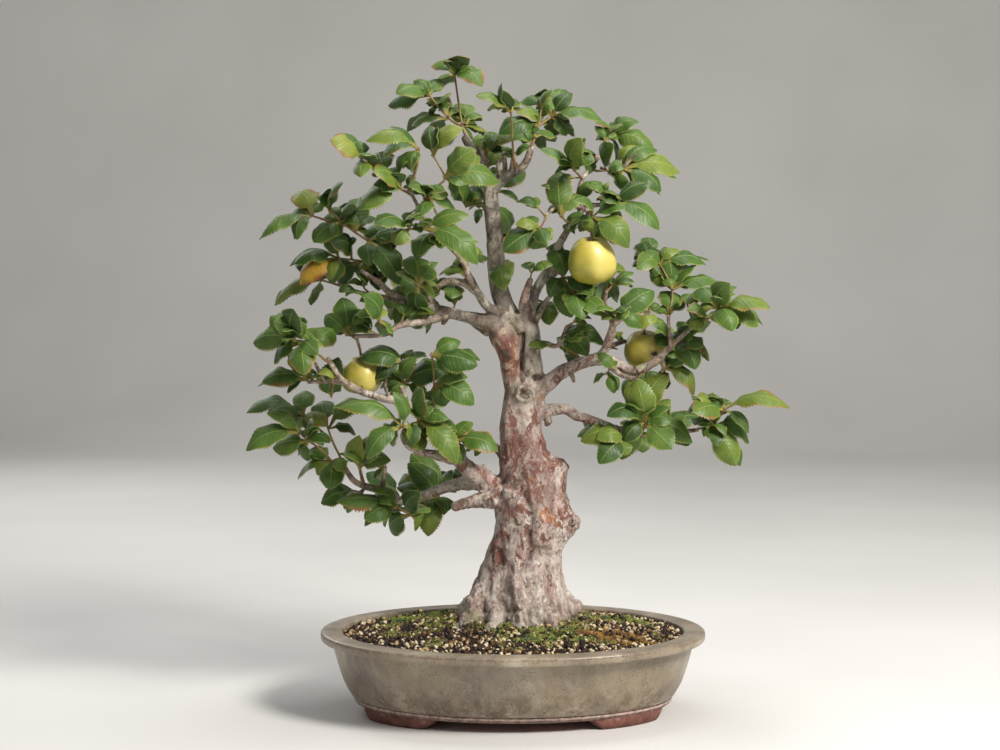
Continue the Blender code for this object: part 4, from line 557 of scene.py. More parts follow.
class Finish:
    """A material whose nodes are added one at a time.

    A cloud is given by its scale, detail, roughness and distortion; a band by its value, the low
    and the high end of its step and what it starts and ends at; a colour by red, green and blue;
    and a relief by its height, strength and depth in metres.
    """

    def __init__(self, name, roughness=0.6):
        self.material = bpy.data.materials.new(name)
        self.material.use_nodes = True
        self.tree = self.material.node_tree
        self.shader = self.tree.nodes["Principled BSDF"]
        self.shader.inputs["Roughness"].default_value = roughness
        self.place = self.node("ShaderNodeTexCoord").outputs["Object"]

    def node(self, kind, values=None, **settings):
        made = self.tree.nodes.new(kind)
        for key, value in settings.items():
            setattr(made, key, value)
        for socket, value in (values or {}).items():
            self.put(made.inputs[socket], value)
        return made

    def put(self, socket, value):
        if isinstance(value, bpy.types.NodeSocket):
            self.tree.links.new(value, socket)
        else:
            socket.default_value = value

    def stretched(self, rise):
        """The piece's own coordinates, with their height scaled."""
        return self.node("ShaderNodeMapping", {"Vector": self.place, "Scale": (1, 1, rise)}).outputs[0]

    def cloud(self, scale, detail=4.0, roughness=0.55, distortion=0.0, where=None, output="Fac"):
        values = {"Vector": where or self.place, "Scale": scale, "Detail": detail,
                  "Roughness": roughness, "Distortion": distortion}
        return self.node("ShaderNodeTexNoise", values).outputs[output]

    def cells(self, scale, where=None, output="Distance"):
        values = {"Vector": where or self.place, "Scale": scale}
        return self.node("ShaderNodeTexVoronoi", values).outputs[output]

    def cell_shade(self, scale, where, channel):
        """A random value for each cell."""
        colour = self.cells(scale, where, "Color")
        return self.node("ShaderNodeSeparateColor", {0: colour}).outputs[channel]

    def attribute(self, name):
        return self.node("ShaderNodeAttribute", attribute_name=name).outputs["Fac"]

    def sums(self, operation, first, *others):
        """The operation on the first two values, then on its result and the next, and so on."""
        for value in others or (0.0,):
            first = self.node("ShaderNodeMath", {0: first, 1: value}, operation=operation).outputs[0]
        return first

    def times(self, *values):
        return self.sums("MULTIPLY", *values)

    def plus(self, *values):
        return self.sums("ADD", *values)

    def minus(self, *values):
        return self.sums("SUBTRACT", *values)

    def band(self, value, low, high, start=0.0, end=1.0):
        """A smooth step of a value from start to end between low and high."""
        values = {"Value": value, "From Min": low, "From Max": high, "To Min": start, "To Max": end}
        return self.node("ShaderNodeMapRange", values, interpolation_type="SMOOTHSTEP").outputs[0]

    def fall(self, value, low, high, end=0.0):
        """A band that falls from one."""
        return self.band(value, low, high, 1.0, end)

    def spots(self, scale, detail, roughness, low, high, distortion=0.0, where=None):
        """Where a cloud is high."""
        return self.band(self.cloud(scale, detail, roughness, distortion, where), low, high)

    def ramp(self, value, *stops, steps="LINEAR"):
        """A colour for each value, from stops of place and colour."""
        made = self.node("ShaderNodeValToRGB", {"Fac": value})
        band = made.color_ramp
        band.interpolation = steps
        while len(band.elements) < len(stops):
            band.elements.new(0.5)
        for element, (place, *colour) in zip(band.elements, stops):
            element.position = place
            element.color = srgb(*colour)
        return made.outputs["Color"]

    def mix(self, share, below, above):
        values = {0: share, 6: below, 7: above}
        return self.node("ShaderNodeMix", values, data_type="RGBA").outputs[2]

    def stained(self, below, *layers):
        """A colour under layers, each with where it lies, its strength and its colour."""
        for share, strength, *colour in layers:
            below = self.mix(self.times(share, strength), below, srgb(*colour))
        return below

    def relief(self, height, strength, distance, under=None):
        values = {"Height": height, "Strength": strength, "Distance": distance}
        if under:
            values["Normal"] = under
        return self.node("ShaderNodeBump", values).outputs[0]

    def height(self):
        """How high a place is on the part, in metres."""
        return self.node("ShaderNodeSeparateXYZ", {0: self.place}).outputs["Z"]

    def done(self, colour, normal=None, **others):
        """The material, with its colour, its relief and other values of its shader."""
        values = {"Base_Color": colour, **others}
        if normal:
            values["Normal"] = normal
        for name, value in values.items():
            self.put(self.shader.inputs[name.replace("_", " ")], value)
        return self.material


def glaze_finish():
    """Grey-cream glaze with brown specks, brown along the lip's edges and breaking brown above the ring.
    """
    made = Finish("cream_glaze")
    z = made.height()
    streaks = made.cloud(24, 6, 0.62, 0.5, made.stretched(0.4))
    brown = made.times(made.spots(40, 9, 0.8, 0.43, 0.58, 0.2, made.stretched(0.8)),
                       made.fall(z, 0.018, 0.056, 0.1))
    crawl = made.times(made.spots(620, 4, 0.8, 0.55, 0.62),
                       made.band(made.cloud(22, 3), 0.4, 0.62, 0.15, 0.75))
    pale = made.times(made.spots(120, 5, 0.7, 0.54, 0.64), made.fall(z, 0.018, 0.032))
    # Brown wear along the lip's top outer edge; the same broken brown runs along its lower edge and just
    # under it.
    outer_edge = made.times(made.band(z, 0.079, 0.0805), made.fall(z, 0.0818, 0.0827, 0.2))
    lip_edges = made.sums("MAXIMUM", outer_edge, made.fall(z, 0.0728, 0.0755))
    lip_wear_and_brown = made.times(lip_edges, made.band(z, 0.0715, 0.0725), made.spots(170, 7, 0.8, 0.42, 0.6))
    specks = made.times(made.fall(made.cells(700), 0.24, 0.4), made.spots(60, 5, 0.7, 0.45, 0.58))
    body = made.stained(
        made.ramp(streaks, (0.34, 102, 92, 82), (0.45, 132, 121, 107), (0.56, 152, 140, 122),
                  (0.68, 174, 164, 146)),
        (made.spots(11, 5, 0.7, 0.45, 0.6), 0.4, 142, 126, 96), (brown, 0.85, 92, 70, 50),
        (crawl, 0.6, 98, 76, 56), (pale, 0.65, 196, 172, 156), (lip_wear_and_brown, 0.62, 98, 72, 56),
        (specks, 0.85, 66, 48, 36))
    grit = made.cloud(240, 4, 0.7)
    ring = made.ramp(grit, (0.35, 84, 64, 56), (0.5, 116, 94, 86), (0.65, 150, 128, 118))
    underside = made.mix(made.band(z, 0.0105, 0.0112), srgb(140, 84, 66), ring)
    bead = made.times(made.band(z, 0.0134, 0.0142), made.fall(z, 0.0156, 0.0161))
    bare = made.stained(underside, (bead, made.band(grit, 0.42, 0.56, 0.4, 1.0), 182, 158, 146))
    pits = made.relief(made.cells(620), 0.16, 0.0005)
    rough_skin = made.relief(made.cloud(300, 4, 0.7), 0.14, 0.0008, pits)
    return made.done(made.mix(made.band(z, 0.0166, 0.0174), bare, body),
                     made.relief(made.cloud(40, 3), 0.25, 0.0014, rough_skin), Coat_Weight=0.1,
                     Roughness=made.band(z, 0.0155, 0.0176, 0.75, 0.38), Coat_Roughness=0.2)


def clay_finish():
    """Bare red-brown clay of the feet, paler where it is rubbed."""
    made = Finish("bare_clay", 0.8)
    clay = made.ramp(made.cloud(90, 6, 0.7), (0.3, 78, 46, 40), (0.5, 104, 62, 52), (0.7, 128, 88, 76))
    rubbed = made.times(made.band(made.cloud(60, 4), 0.5, 0.65), made.band(made.height(), 0.005, 0.0105))
    return made.done(made.stained(clay, (rubbed, 0.6, 190, 154, 138)),
                     made.relief(made.cloud(500, 4, 0.7), 0.35, 0.0006))


def soil_finish():
    """Dark damp granules between the loose grains."""
    made = Finish("dark_soil", 0.92)
    return made.done(made.ramp(made.cloud(190, 6, 0.7), (0.3, 26, 18, 12), (0.6, 58, 42, 30),
                               (0.75, 92, 70, 50)), made.relief(made.cells(330), 0.8, 0.0016))


def grain_finish():
    """Loose grains: near black, brown, rust, tan and pale pumice, each grain one colour."""
    made = Finish("soil_grains", 0.85)
    grain = made.ramp(made.attribute("grain"), (0.0, 32, 23, 17), (0.32, 58, 40, 28),
                      (0.54, 98, 64, 38), (0.68, 130, 98, 62), (0.81, 182, 156, 112),
                      (0.93, 214, 198, 162), steps="CONSTANT")
    dirt = made.band(made.cloud(420, 3), 0.45, 0.7, 0.0, 0.45)
    return made.done(made.stained(grain, (dirt, 1.0, 60, 44, 30)),
                     made.relief(made.cloud(700, 3), 0.5, 0.0006))


def moss_finish(name, low, middle, high):
    """Cushion moss, darker between its sprigs: painted shade on the dome they stand on."""
    made = Finish(name, 0.95)
    shade = made.plus(made.attribute("grain"), made.times(made.cloud(160, 3), 0.5))
    return made.done(made.ramp(shade, (0.15, *low), (0.6, *middle), (1.0, *high)),
                     made.relief(made.cells(900), 0.6, 0.0008), Sheen_Weight=0.25)


def bark_finish():
    """Quince bark: cream and pinkish ground with flaked plates of red-brown and orange."""
    made = Finish("flaking_bark")
    z = made.height()
    flow = made.stretched(0.66)
    bent = made.mix(0.016, flow, made.cloud(70, 4, 0.5, 0.0, flow, "Color"))
    layer = {name: made.attribute(name) for name in BARK_LAYERS}
    plate, small = made.cell_shade(165, bent, 0), made.cell_shade(340, bent, 1)
    ground = made.ramp(made.cloud(60, 8, 0.78, 0.3, bent), (0.33, 126, 100, 90),
                       (0.42, 180, 155, 143), (0.49, 210, 193, 181), (0.57, 230, 219, 207),
                       (0.75, 214, 204, 192))
    rosy = made.times(layer["rust"], made.spots(34, 5, 0.7, 0.36, 0.5))
    plates = made.plus(made.times(plate, 0.34), made.times(small, 0.16),
                       made.cloud(50, 6, 0.75, 0.2, bent), made.times(layer["rust"], 0.2))
    rust = made.band(made.minus(plates, made.band(z, 0.122, 0.177, 0.1, 0.0)), 0.868, 0.886)
    red = made.ramp(made.cloud(80, 4, 0.6, 0, bent), (0.35, 104, 62, 50), (0.5, 138, 84, 68),
                    (0.65, 162, 108, 90))
    amber = made.plus(made.times(layer["amber"], 0.2), made.cloud(60, 6, 0.7, 0.2, bent),
                      made.times(small, 0.08))
    flakes = made.spots(230, 7, 0.8, 0.575, 0.6, 0.3, bent)
    scabs = made.spots(300, 7, 0.8, 0.585, 0.61, 0.4, bent)
    pits = made.times(made.fall(made.cells(260, bent), 0.18, 0.32),
                      made.band(made.cloud(60, 3), 0.46, 0.58))
    wrinkles = made.cloud(105, 8, 0.72, 0.7, made.stretched(0.42))
    crack = made.times(made.band(wrinkles, 0.475, 0.497), made.fall(wrinkles, 0.503, 0.525),
                       made.fall(z, 0.12, 0.3, 0.4), made.band(made.cloud(30, 3), 0.42, 0.58, 0.25, 1.0))
    crust = made.times(made.fall(z, 0.102, 0.152), made.spots(200, 7, 0.8, 0.46, 0.56))
    earth = made.times(made.fall(z, 0.09, 0.108), made.spots(90, 6, 0.75, 0.42, 0.58))
    salmon = made.ramp(
        made.plus(made.cloud(46, 5, 0.65, 0.2, bent), made.times(plate, 0.16)), (0.46, 88, 54, 46),
        (0.52, 122, 72, 58), (0.59, 146, 92, 76), (0.63, 172, 126, 102), (0.645, 190, 172, 150),
        (0.7, 176, 156, 136), (0.71, 120, 70, 56))
    pale = made.ramp(
        made.plus(made.cloud(64, 7, 0.75, 0.2, bent), made.times(small, 0.1)), (0.36, 104, 86, 74),
        (0.45, 152, 138, 122), (0.51, 186, 174, 156), (0.58, 208, 200, 182), (0.72, 212, 206, 190))
    chips = made.plus(made.cloud(58, 7, 0.78, 0.3, bent), made.times(plate, 0.12))
    pale = made.stained(pale, (made.band(chips, 0.6, 0.62), 0.75, 122, 88, 74))
    # Painted shade: the limbs high in the crown turn darker, in patches.
    high_limb_shade = made.times(made.band(z, 0.382, 0.405),
                      made.band(made.cloud(30, 5, 0.7, 0.2, bent), 0.43, 0.53, 0.1, 0.74))
    bark = made.stained(ground, (made.spots(48, 7, 0.75, 0.5, 0.58, 0.4, bent), 0.6, 168, 126, 120),
                        (rosy, 0.86, 140, 94, 82))
    bark = made.stained(made.mix(made.times(rust, 0.9), bark, red),
                        (made.band(amber, 0.7, 0.73), 0.75, 178, 112, 62),
                        (layer["rust"], 0.38, 88, 56, 50), (flakes, 0.7, 216, 202, 184),
                        (scabs, 0.65, 98, 68, 56), (pits, 0.75, 72, 50, 40),
                        (crack, 0.38, 120, 90, 76), (crust, 0.6, 206, 194, 176),
                        (earth, 0.75, 84, 72, 48))
    bark = made.mix(made.times(layer["salmon"], 0.95), bark, salmon)
    bark = made.mix(made.times(layer["grey"], 0.92), bark, pale)
    bark = made.stained(
        bark, (high_limb_shade, 1.0, 70, 56, 48),
        # Painted shade on the limbs inside the crown.
        (layer["inner_limb_shade"], made.band(made.cloud(70, 6, 0.75), 0.4, 0.54, 0.35, 0.8), 84, 66, 58),
        (made.times(made.spots(75, 6, 0.75, 0.5, 0.6), layer["lichen"]), 0.7, 142, 148, 104),
        # Painted shade in the furrows, hollows and cut pits.
        (layer["groove_shade"], 0.85, 64, 42, 30))
    steps = made.relief(made.plus(plate, small), 0.4, 0.001)
    fine = made.relief(made.cloud(230, 8, 0.8, 0, bent), 0.9, 0.0026, steps)
    lifted = made.relief(made.plus(flakes, scabs), 0.5, 0.0006, fine)
    cracked = made.relief(crack, 0.8, -0.0012, lifted)
    return made.done(bark, made.relief(pits, 0.6, -0.001, cracked),
                     Roughness=made.band(made.cloud(60, 3), 0.3, 0.7, 0.5, 0.75))


def twig_finish():
    """Grey-brown bark of the thinner branches, with pale lenticels and some lichen."""
    made = Finish("branch_bark", 0.75)
    bark = made.ramp(made.cloud(120, 7, 0.75), (0.36, 74, 58, 50), (0.45, 116, 98, 86),
                     (0.53, 154, 138, 120), (0.62, 196, 186, 168))
    return made.done(made.stained(bark, (made.band(made.cloud(60, 4), 0.56, 0.66), 0.5, 138, 88, 66),
                                  (made.spots(38, 5, 0.7, 0.58, 0.68), 0.55, 148, 152, 104)),
                     made.relief(made.cloud(300, 5, 0.75), 0.6, 0.0009))


def green_twig_finish():
    """This year's twigs, green-brown with a red side."""
    made = Finish("young_twig", 0.55)
    return made.done(made.ramp(made.cloud(70, 4), (0.35, 112, 84, 56), (0.5, 134, 116, 66),
                               (0.65, 126, 76, 56)), made.relief(made.cloud(500, 4), 0.3, 0.0005))


def leaf_finish():
    """Leaf with a pale midrib and side veins, a yellow-green margin and a paler underside."""
    made = Finish("quince_leaf")
    blade_map = made.node("ShaderNodeUVMap", uv_map="blade").outputs[0]
    flat = made.node("ShaderNodeSeparateXYZ", {0: blade_map})
    along = flat.outputs["Y"]
    out = made.sums("ABSOLUTE", made.minus(flat.outputs["X"], 0.5))
    tone, turned, under = (made.attribute(name) for name in LEAF_LAYERS)
    patchy = made.cloud(95, 4, 0.6)
    # Side veins leave the midrib at a slant, so their place along it grows with the way out.
    wave = made.sums("FRACT", made.times(made.minus(along, made.times(out, 0.5)), 8.0))
    vein = made.times(made.fall(made.sums("ABSOLUTE", made.minus(wave, 0.5)), 0.0, 0.1),
                      made.fall(out, 0.3, 0.46))
    rib = made.fall(out, 0.008, 0.028)
    edge = made.band(made.plus(out, made.times(patchy, 0.06)), 0.47, 0.52)
    golden = made.times(made.band(turned, 0.9, 1.0), made.band(patchy, 0.36, 0.52, 0.2, 0.9))
    reach = made.plus(out, made.times(made.cloud(60, 4), 0.5), made.times(along, 0.12))
    burnt = made.times(turned, made.band(reach, 0.66, 0.84))
    blade = made.ramp(made.plus(made.times(tone, 0.75), made.times(patchy, 0.4)), (0.12, 32, 52, 16),
                      (0.36, 55, 84, 28), (0.6, 78, 106, 38), (0.98, 134, 138, 48))
    blade = made.stained(blade, (vein, 0.22, 118, 142, 72), (rib, 0.6, 148, 158, 88),
                         (edge, 0.5, 160, 164, 78), (golden, 1.0, 206, 158, 52),
                         (burnt, 0.9, 150, 78, 46), (under, 0.6, 118, 138, 96),
                         (made.fall(along, 0.005, 0.03), 0.8, 146, 134, 66))
    ridges = made.relief(made.plus(vein, rib), 0.6, -0.0006)
    return made.done(blade, made.relief(made.cells(520), 0.16, 0.0005, ridges),
                     Roughness=made.band(under, 0.0, 1.0, 0.46, 0.7), Specular_IOR_Level=0.36,
                     Subsurface_Weight=0.1, Subsurface_Radius=(0.0025, 0.004, 0.001))


def fruit_finish():
    """Waxy yellow-green quince skin with small brown specks, paler on the side that faces the key light:
    painted light.
    """
    made = Finish("quince_skin", 0.4)
    # Painted light: the skin turns paler where its normal faces the key light, up and to the front right,
    # and darker olive away from it.
    toward_key_light = made.node("ShaderNodeVectorMath", {0: made.node("ShaderNodeNewGeometry").outputs["Normal"],
                                             1: (0.75, -0.55, 0.35)}, operation="DOT_PRODUCT")
    ripeness_and_light = made.plus(toward_key_light.outputs["Value"], made.times(made.cloud(34, 5), 0.9))
    skin = made.ramp(made.band(ripeness_and_light, -0.6, 1.4), (0.0, 116, 116, 36), (0.4, 158, 150, 46),
                     (0.75, 188, 174, 70), (1.0, 206, 190, 102))
    specks = made.times(made.fall(made.cells(480), 0.14, 0.26), made.band(made.cloud(70, 3), 0.5, 0.6))
    rusty = made.plus(made.attribute("dimple"), made.times(made.cloud(140, 4), 0.5))
    skin = made.stained(skin, (made.spots(48, 5, 0.65, 0.5, 0.68), 0.4, 128, 138, 44),
                        (specks, 0.6, 122, 94, 44),
                        (made.spots(110, 6, 0.75, 0.6, 0.68), 0.3, 150, 128, 60),
                        (made.band(rusty, 0.55, 0.95), 0.85, 104, 72, 34),
                        (made.attribute("bruise"), 1.0, 44, 28, 20))
    return made.done(skin, made.relief(made.cloud(60, 3), 0.14, 0.002), Coat_Weight=0.15,
                     Coat_Roughness=0.35, Subsurface_Weight=0.08,
                     Subsurface_Radius=(0.004, 0.003, 0.001))


def screen_finish():
    """Black plastic drainage mesh."""
    made = Finish("black_mesh")
    return made.done(made.ramp(made.cloud(300, 3), (0.3, 22, 22, 23), (0.7, 36, 36, 38)),
                     made.relief(made.cells(1200), 0.2, 0.0004))


def floor_finish():
    made = Finish("pale_floor", 0.8)
    return made.done(made.ramp(made.cloud(2, 2), (0.3, 206, 204, 200), (0.7, 214, 212, 208)))


def clamp(value, low=0.0, high=1.0):
    return min(high, max(low, value))


def fading(distance, reach):
    """One at no distance, fading to nothing past the reach."""
    return math.exp(-(distance / reach) ** 2)


def ground_noise(x, y, scale, layer):
    """Smooth noise over the ground, a different one for each layer."""
    return noise.noise(Vector((x * scale, y * scale, layer)))


def random_vector(rng, *ranges):
    return Vector([rng.uniform(low, high) for low, high in ranges])


def at_view(column, row, depth=0.0):
    """The point, in millimetres, that the front view shows at this place and depth."""
    flat = Vector((column - MIDDLE_COLUMN, 0.0, GROUND_ROW - row))
    share = (depth - EYE.y) / -EYE.y
    return Vector((EYE.x + (flat.x - EYE.x) * share, depth, EYE.z + (flat.z - EYE.z) * share))


def view_of(point):
    """Where the front view shows a point."""
    share = -EYE.y / (point.y - EYE.y)
    return (EYE.x + (point.x - EYE.x) * share + MIDDLE_COLUMN,
            GROUND_ROW - EYE.z - (point.z - EYE.z) * share)


def mesh_of(name, bm):
    """A mesh from a bmesh, which is used up."""
    mesh = bpy.data.meshes.new(name)
    bm.to_mesh(mesh)
    bm.free()
    return mesh


def in_scene(name, data):
    made = bpy.data.objects.new(name, data)
    bpy.context.scene.collection.objects.link(made)
    return made


def piece(name, bm, finish, slot, replaced=()):
    """A finished piece from a bmesh in millimetres, smooth, riding on the pot's body."""
    bmesh.ops.scale(bm, vec=(MM, MM, MM), verts=bm.verts)
    made = in_scene(name, mesh_of(name, bm))
    made.data.materials.append(finish)
    made.data.shade_smooth()
    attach(made, "root")
    if replaced:
        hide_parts(*replaced)
    return made


def settle(made):
    """Apply a piece's modifiers to its mesh."""
    graph = bpy.context.evaluated_depsgraph_get()
    mesh = bpy.data.meshes.new_from_object(made.evaluated_get(graph))
    made.modifiers.clear()
    made.data = mesh


def new_points(made):
    return [item for item in made["geom"] if isinstance(item, bmesh.types.BMVert)]


def new_rim(made):
    """The new points of an extrusion and the new edges between them."""
    points = set(new_points(made))
    return points, [item for item in made["geom"] if isinstance(item, bmesh.types.BMEdge)
                    and all(vert in points for vert in item.verts)]


def copied(bm, template):
    """Copies of a template's points and faces, added to a bmesh, as the new points."""
    mesh = bpy.data.meshes.get("template_copy") or bpy.data.meshes.new("template_copy")
    template.to_mesh(mesh)
    before = len(bm.verts)
    bm.from_mesh(mesh)
    bm.verts.ensure_lookup_table()
    return bm.verts[before:]


def drawn_rings(bm, sides, places):
    """A wall extruded ring by ring, closed at both ends.

    Places gives each ring's point from its turn.
    """
    first = bmesh.ops.create_circle(bm, segments=sides, radius=1.0)["verts"]
    turns = {vert: math.atan2(vert.co.y, vert.co.x) for vert in first}
    start = edges = list({edge for vert in first for edge in vert.link_edges})
    for vert, turn in turns.items():
        vert.co = places[0](turn)
    for place in places[1:]:
        raised, edges = new_rim(bmesh.ops.extrude_edge_only(bm, edges=edges))
        turns = {vert: turns[other] for vert in raised for edge in vert.link_edges
                 if (other := edge.other_vert(vert)) in turns}
        for vert, turn in turns.items():
            vert.co = place(turn)
    for ring in (start, edges):
        bmesh.ops.holes_fill(bm, edges=ring, sides=0)


def face_outward(bm):
    bmesh.ops.recalc_face_normals(bm, faces=bm.faces)


def oval_place(inset, height):
    """A ring of the pot's oval, this far in from the outer edge of the lip."""
    lean = FRONT_LEAN * max(0.0, 1 - height / (POT_HEIGHT - LIP_HEIGHT))
    across, deep = POT_HALF_WIDTH - inset, POT_HALF_DEPTH - inset - lean
    return lambda turn: Vector((across * math.cos(turn), deep * math.sin(turn), height))


def build_pot(glaze, clay):
    """The oval bowl with its flat-topped lip, bead and foot ring, and its four cloud feet."""
    bm = bmesh.new()
    drawn_rings(bm, POT_SIDES, [oval_place(inset, height) for inset, height in POT_PROFILE])
    face_outward(bm)
    pot = piece("glazed_pot", bm, glaze, "glaze", ("pot",))
    for side in (-1, 1):
        drill = bmesh.new()
        bmesh.ops.create_cone(drill, cap_ends=True, segments=DRILL_SIDES, radius1=DRAIN_RADIUS * MM,
                              radius2=DRAIN_RADIUS * MM, depth=DRILL_LENGTH * MM)
        bmesh.ops.translate(drill, verts=drill.verts,
                            vec=(side * DRAIN_OFFSET * MM, 0, DRILL_MIDDLE * MM))
        cutter = in_scene("drain_drill", mesh_of("drain_drill", drill))
        cut = pot.modifiers.new("drain", "BOOLEAN")
        cut.operation = "DIFFERENCE"
        cut.object = cutter
        settle(pot)
        bpy.data.objects.remove(cutter, do_unlink=True)
    pot.data.shade_smooth()
    bm = bmesh.new()
    for quarter in range(4):
        add_foot(bm, quarter)
    piece("cloud_feet", bm, clay, "glaze")


def add_foot(bm, quarter):
    """One cloud foot: an arc under the ring whose ends roll up into a scroll."""
    foot = bmesh.new()
    bmesh.ops.create_cube(foot, size=1.0)
    for cuts, lengthwise in ((FOOT_CUTS, True), (FOOT_ROWS, False)):
        edges = [edge for edge in foot.edges
                 if (abs(edge.verts[0].co.x - edge.verts[1].co.x) > 1e-4) == lengthwise]
        bmesh.ops.subdivide_edges(foot, edges=edges, cuts=cuts, use_grid_fill=True)
    for vert in foot.verts:
        share, deep, rise = vert.co.x + 0.5, vert.co.y + 0.5, vert.co.z + 0.5
        turn = FOOT_START + (FOOT_END - FOOT_START) * share
        edge = abs(2 * share - 1)
        swell = math.sqrt(max(0.0, 1 - edge ** 5))
        rolled = max(0.0, (edge - FOOT_ROLL_START) / FOOT_ROLL_LENGTH)
        bottom = FOOT_HEIGHT * rolled ** 1.6
        outer = RING_INSET + FOOT_INSET + FOOT_ENDS_INSET * edge ** 4
        inner = outer + FOOT_DEPTH + FOOT_SWELL * swell
        belly = math.sin(math.pi * min(1.0, rise * 1.15)) * FOOT_BELLY
        round_off = FOOT_ROUNDING * max(0.0, 1 - rise * 3) ** 2
        inset = outer + (inner - outer) * deep + (round_off - belly) * (1 - 2 * deep)
        if quarter in (1, 3):
            turn = math.pi - turn
        if quarter in (2, 3):
            turn = -turn
        height = FOOT_BOTTOM + bottom + (FOOT_HEIGHT + FOOT_OVERLAP - bottom) * rise
        vert.co = oval_place(inset, height)(turn)
    face_outward(foot)
    copied(bm, foot)
    foot.free()


def soil_height(x, y):
    """The soil's mound, highest round the trunk."""
    reach = math.hypot((x - MOUND_X) / MOUND_REACH, y / (MOUND_REACH * MOUND_OVAL))
    return SOIL_RIM_HEIGHT + MOUND_HEIGHT * math.exp(-MOUND_FALL * reach * reach)


def lumpy_height(x, y):
    return soil_height(x, y) + ground_noise(x, y, LUMP_SCALE, LUMP_LAYER) * LUMP_HEIGHT


def from_trunk(spot, reach):
    """How far a place is from the trunk's foot, as a share of this oval."""
    return math.hypot((spot.x - TRUNK_FOOT_X) / reach[0], spot.y / reach[1])


def random_spot(rng, inset):
    """A random place on the soil."""
    turn, reach = rng.uniform(0, FULL_TURN), math.sqrt(rng.random())
    return oval_place(inset, SOIL_RIM_HEIGHT)(turn) * reach


def build_soil(soil, grains):
    """The soil's bed and the loose granules that lie all over it."""
    places = [oval_place(SOIL_INSET + inset, height) for inset, height in SOIL_WALL]
    for k in range(SOIL_RINGS):
        def place(turn, share=1 - k / SOIL_RINGS):
            edge = oval_place(SOIL_INSET, SOIL_RIM_HEIGHT)(turn) * share
            return Vector((edge.x, edge.y, lumpy_height(edge.x, edge.y) - SOIL_SUNK))
        places.append(place)
    bm = bmesh.new()
    drawn_rings(bm, SOIL_SIDES, places)
    face_outward(bm)
    piece("soil_bed", bm, soil, "soil", ("soil",))

    rng = random.Random(SEED)
    template = bmesh.new()
    bmesh.ops.create_icosphere(template, subdivisions=1, radius=1.0)
    for part in range(GRAIN_SETS):
        bm = bmesh.new()
        kind = bm.verts.layers.float.new("grain")
        for _ in range(GRAINS):
            spot = random_spot(rng, SOIL_INSET + 1.6)
            if from_trunk(spot, TRUNK_CLEAR) >= 1:
                add_grain(bm, template, kind, spot, rng)
        piece(f"soil_grains_{part + 1}", bm, grains, "soil").data.shade_flat()
    template.free()


def add_grain(bm, template, kind, spot, rng):
    """One lumpy grain, larger where it is pale, some of them lying on the moss."""
    in_clump = noise.noise(spot * PALE_CLUMP_SCALE) > PALE_CLUMP
    paler = PALER if spot.y < PALE_FRONT or in_clump else 0.0
    shade = min(1.0, rng.random() ** DARK_BIAS * (1 + paler) + paler)
    size = rng.choice(GRAIN_SIZES) * rng.uniform(*GRAIN_SPREAD)
    size *= PALE_LARGER if shade > PALE_SHADE else 1.0
    turned = Matrix.Rotation(rng.uniform(0, 6.3), 3, random_vector(rng, *[(-1, 1)] * 3).normalized())
    stretch = Vector((size * rng.uniform(*GRAIN_LENGTHS), size, size * rng.uniform(*GRAIN_HEIGHTS)))
    on_moss = max(rise * max(0.0, 1.1 - math.hypot((spot.x - x) / across, (spot.y - y) / deep))
                  for x, y, across, deep, rise, _ in MOSS.values())
    lift = on_moss if rng.random() < ON_MOSS_SHARE else 0.0
    centre = Vector((spot.x, spot.y, lumpy_height(spot.x, spot.y) + size * GRAIN_SEAT
                     + rng.uniform(0, GRAIN_LIFT) + lift))
    for vert in copied(bm, template):
        rough = vert.co * rng.uniform(*GRAIN_LUMPS)
        vert.co = turned @ Vector((rough.x * stretch.x, rough.y * stretch.y,
                                   rough.z * stretch.z)) + centre
        vert[kind] = shade


def add_sprig(bm, sprig, foot, tint, rng, most_lean, sizes, tip_paler=0.0):
    """A sprig that leans at random, its tip a little paler."""
    lean = (Matrix.Rotation(rng.uniform(-most_lean, most_lean), 3, "X")
            @ Matrix.Rotation(rng.uniform(-most_lean, most_lean), 3, "Y"))
    size = rng.uniform(*sizes)
    shade = bm.verts.layers.float["grain"]
    for vert in copied(bm, sprig):
        tip = max(0.0, vert.co.z) / SPRIG_TOP
        vert.co = lean @ (vert.co * size) + foot
        vert[shade] = tint + tip_paler * tip


def build_loose_moss(finish, sprig):
    """Wisps of dry moss between the granules, thickest round the foot of the trunk."""
    rng = random.Random(SEED + 9)
    bm = bmesh.new()
    bm.verts.layers.float.new("grain")
    for _ in range(LOOSE_WISPS):
        spot = random_spot(rng, SOIL_INSET + 6)
        near_trunk = from_trunk(spot, WISPS_AROUND)
        patch = ground_noise(spot.x, spot.y, *WISP_PATCHES)
        if near_trunk < WISP_CLEAR or patch + 0.4 * (1.25 - near_trunk) < 0.02:
            continue
        foot = Vector((spot.x, spot.y, lumpy_height(spot.x, spot.y) + rng.uniform(*WISP_LIFTS)))
        tint = clamp(0.55 + 1.3 * ground_noise(spot.x, spot.y, *WISP_TINTS)
                     + rng.uniform(-0.15, 0.15))
        add_sprig(bm, sprig, foot, tint, rng, WISP_LEAN, WISP_SIZES)
    piece("loose_moss", bm, finish, "moss")


def cushion_place(patch, share):
    """A ring of a patch's uneven dome, at this share of its reach."""
    x, y, across, deep, rise, _ = patch

    def place(turn):
        ragged = noise.noise(Vector((math.cos(turn) * 2.4 + x, math.sin(turn) * 2.4, y)))
        edge = share * (0.88 + 0.75 * ragged + 0.1 * math.sin(9 * turn + x))
        at_x = x + across * edge * math.cos(turn)
        at_y = y + deep * edge * math.sin(turn)
        lumps = 0.55 + 0.9 * abs(ground_noise(at_x, at_y, *CUSHION_LUMPS))
        dome = rise * math.sqrt(max(0.0, 1 - share ** 2.4)) * lumps
        sunk = CUSHION_SUNK if share > 0.98 else 0.0
        return Vector((at_x, at_y, soil_height(at_x, at_y) + dome - sunk))
    return place


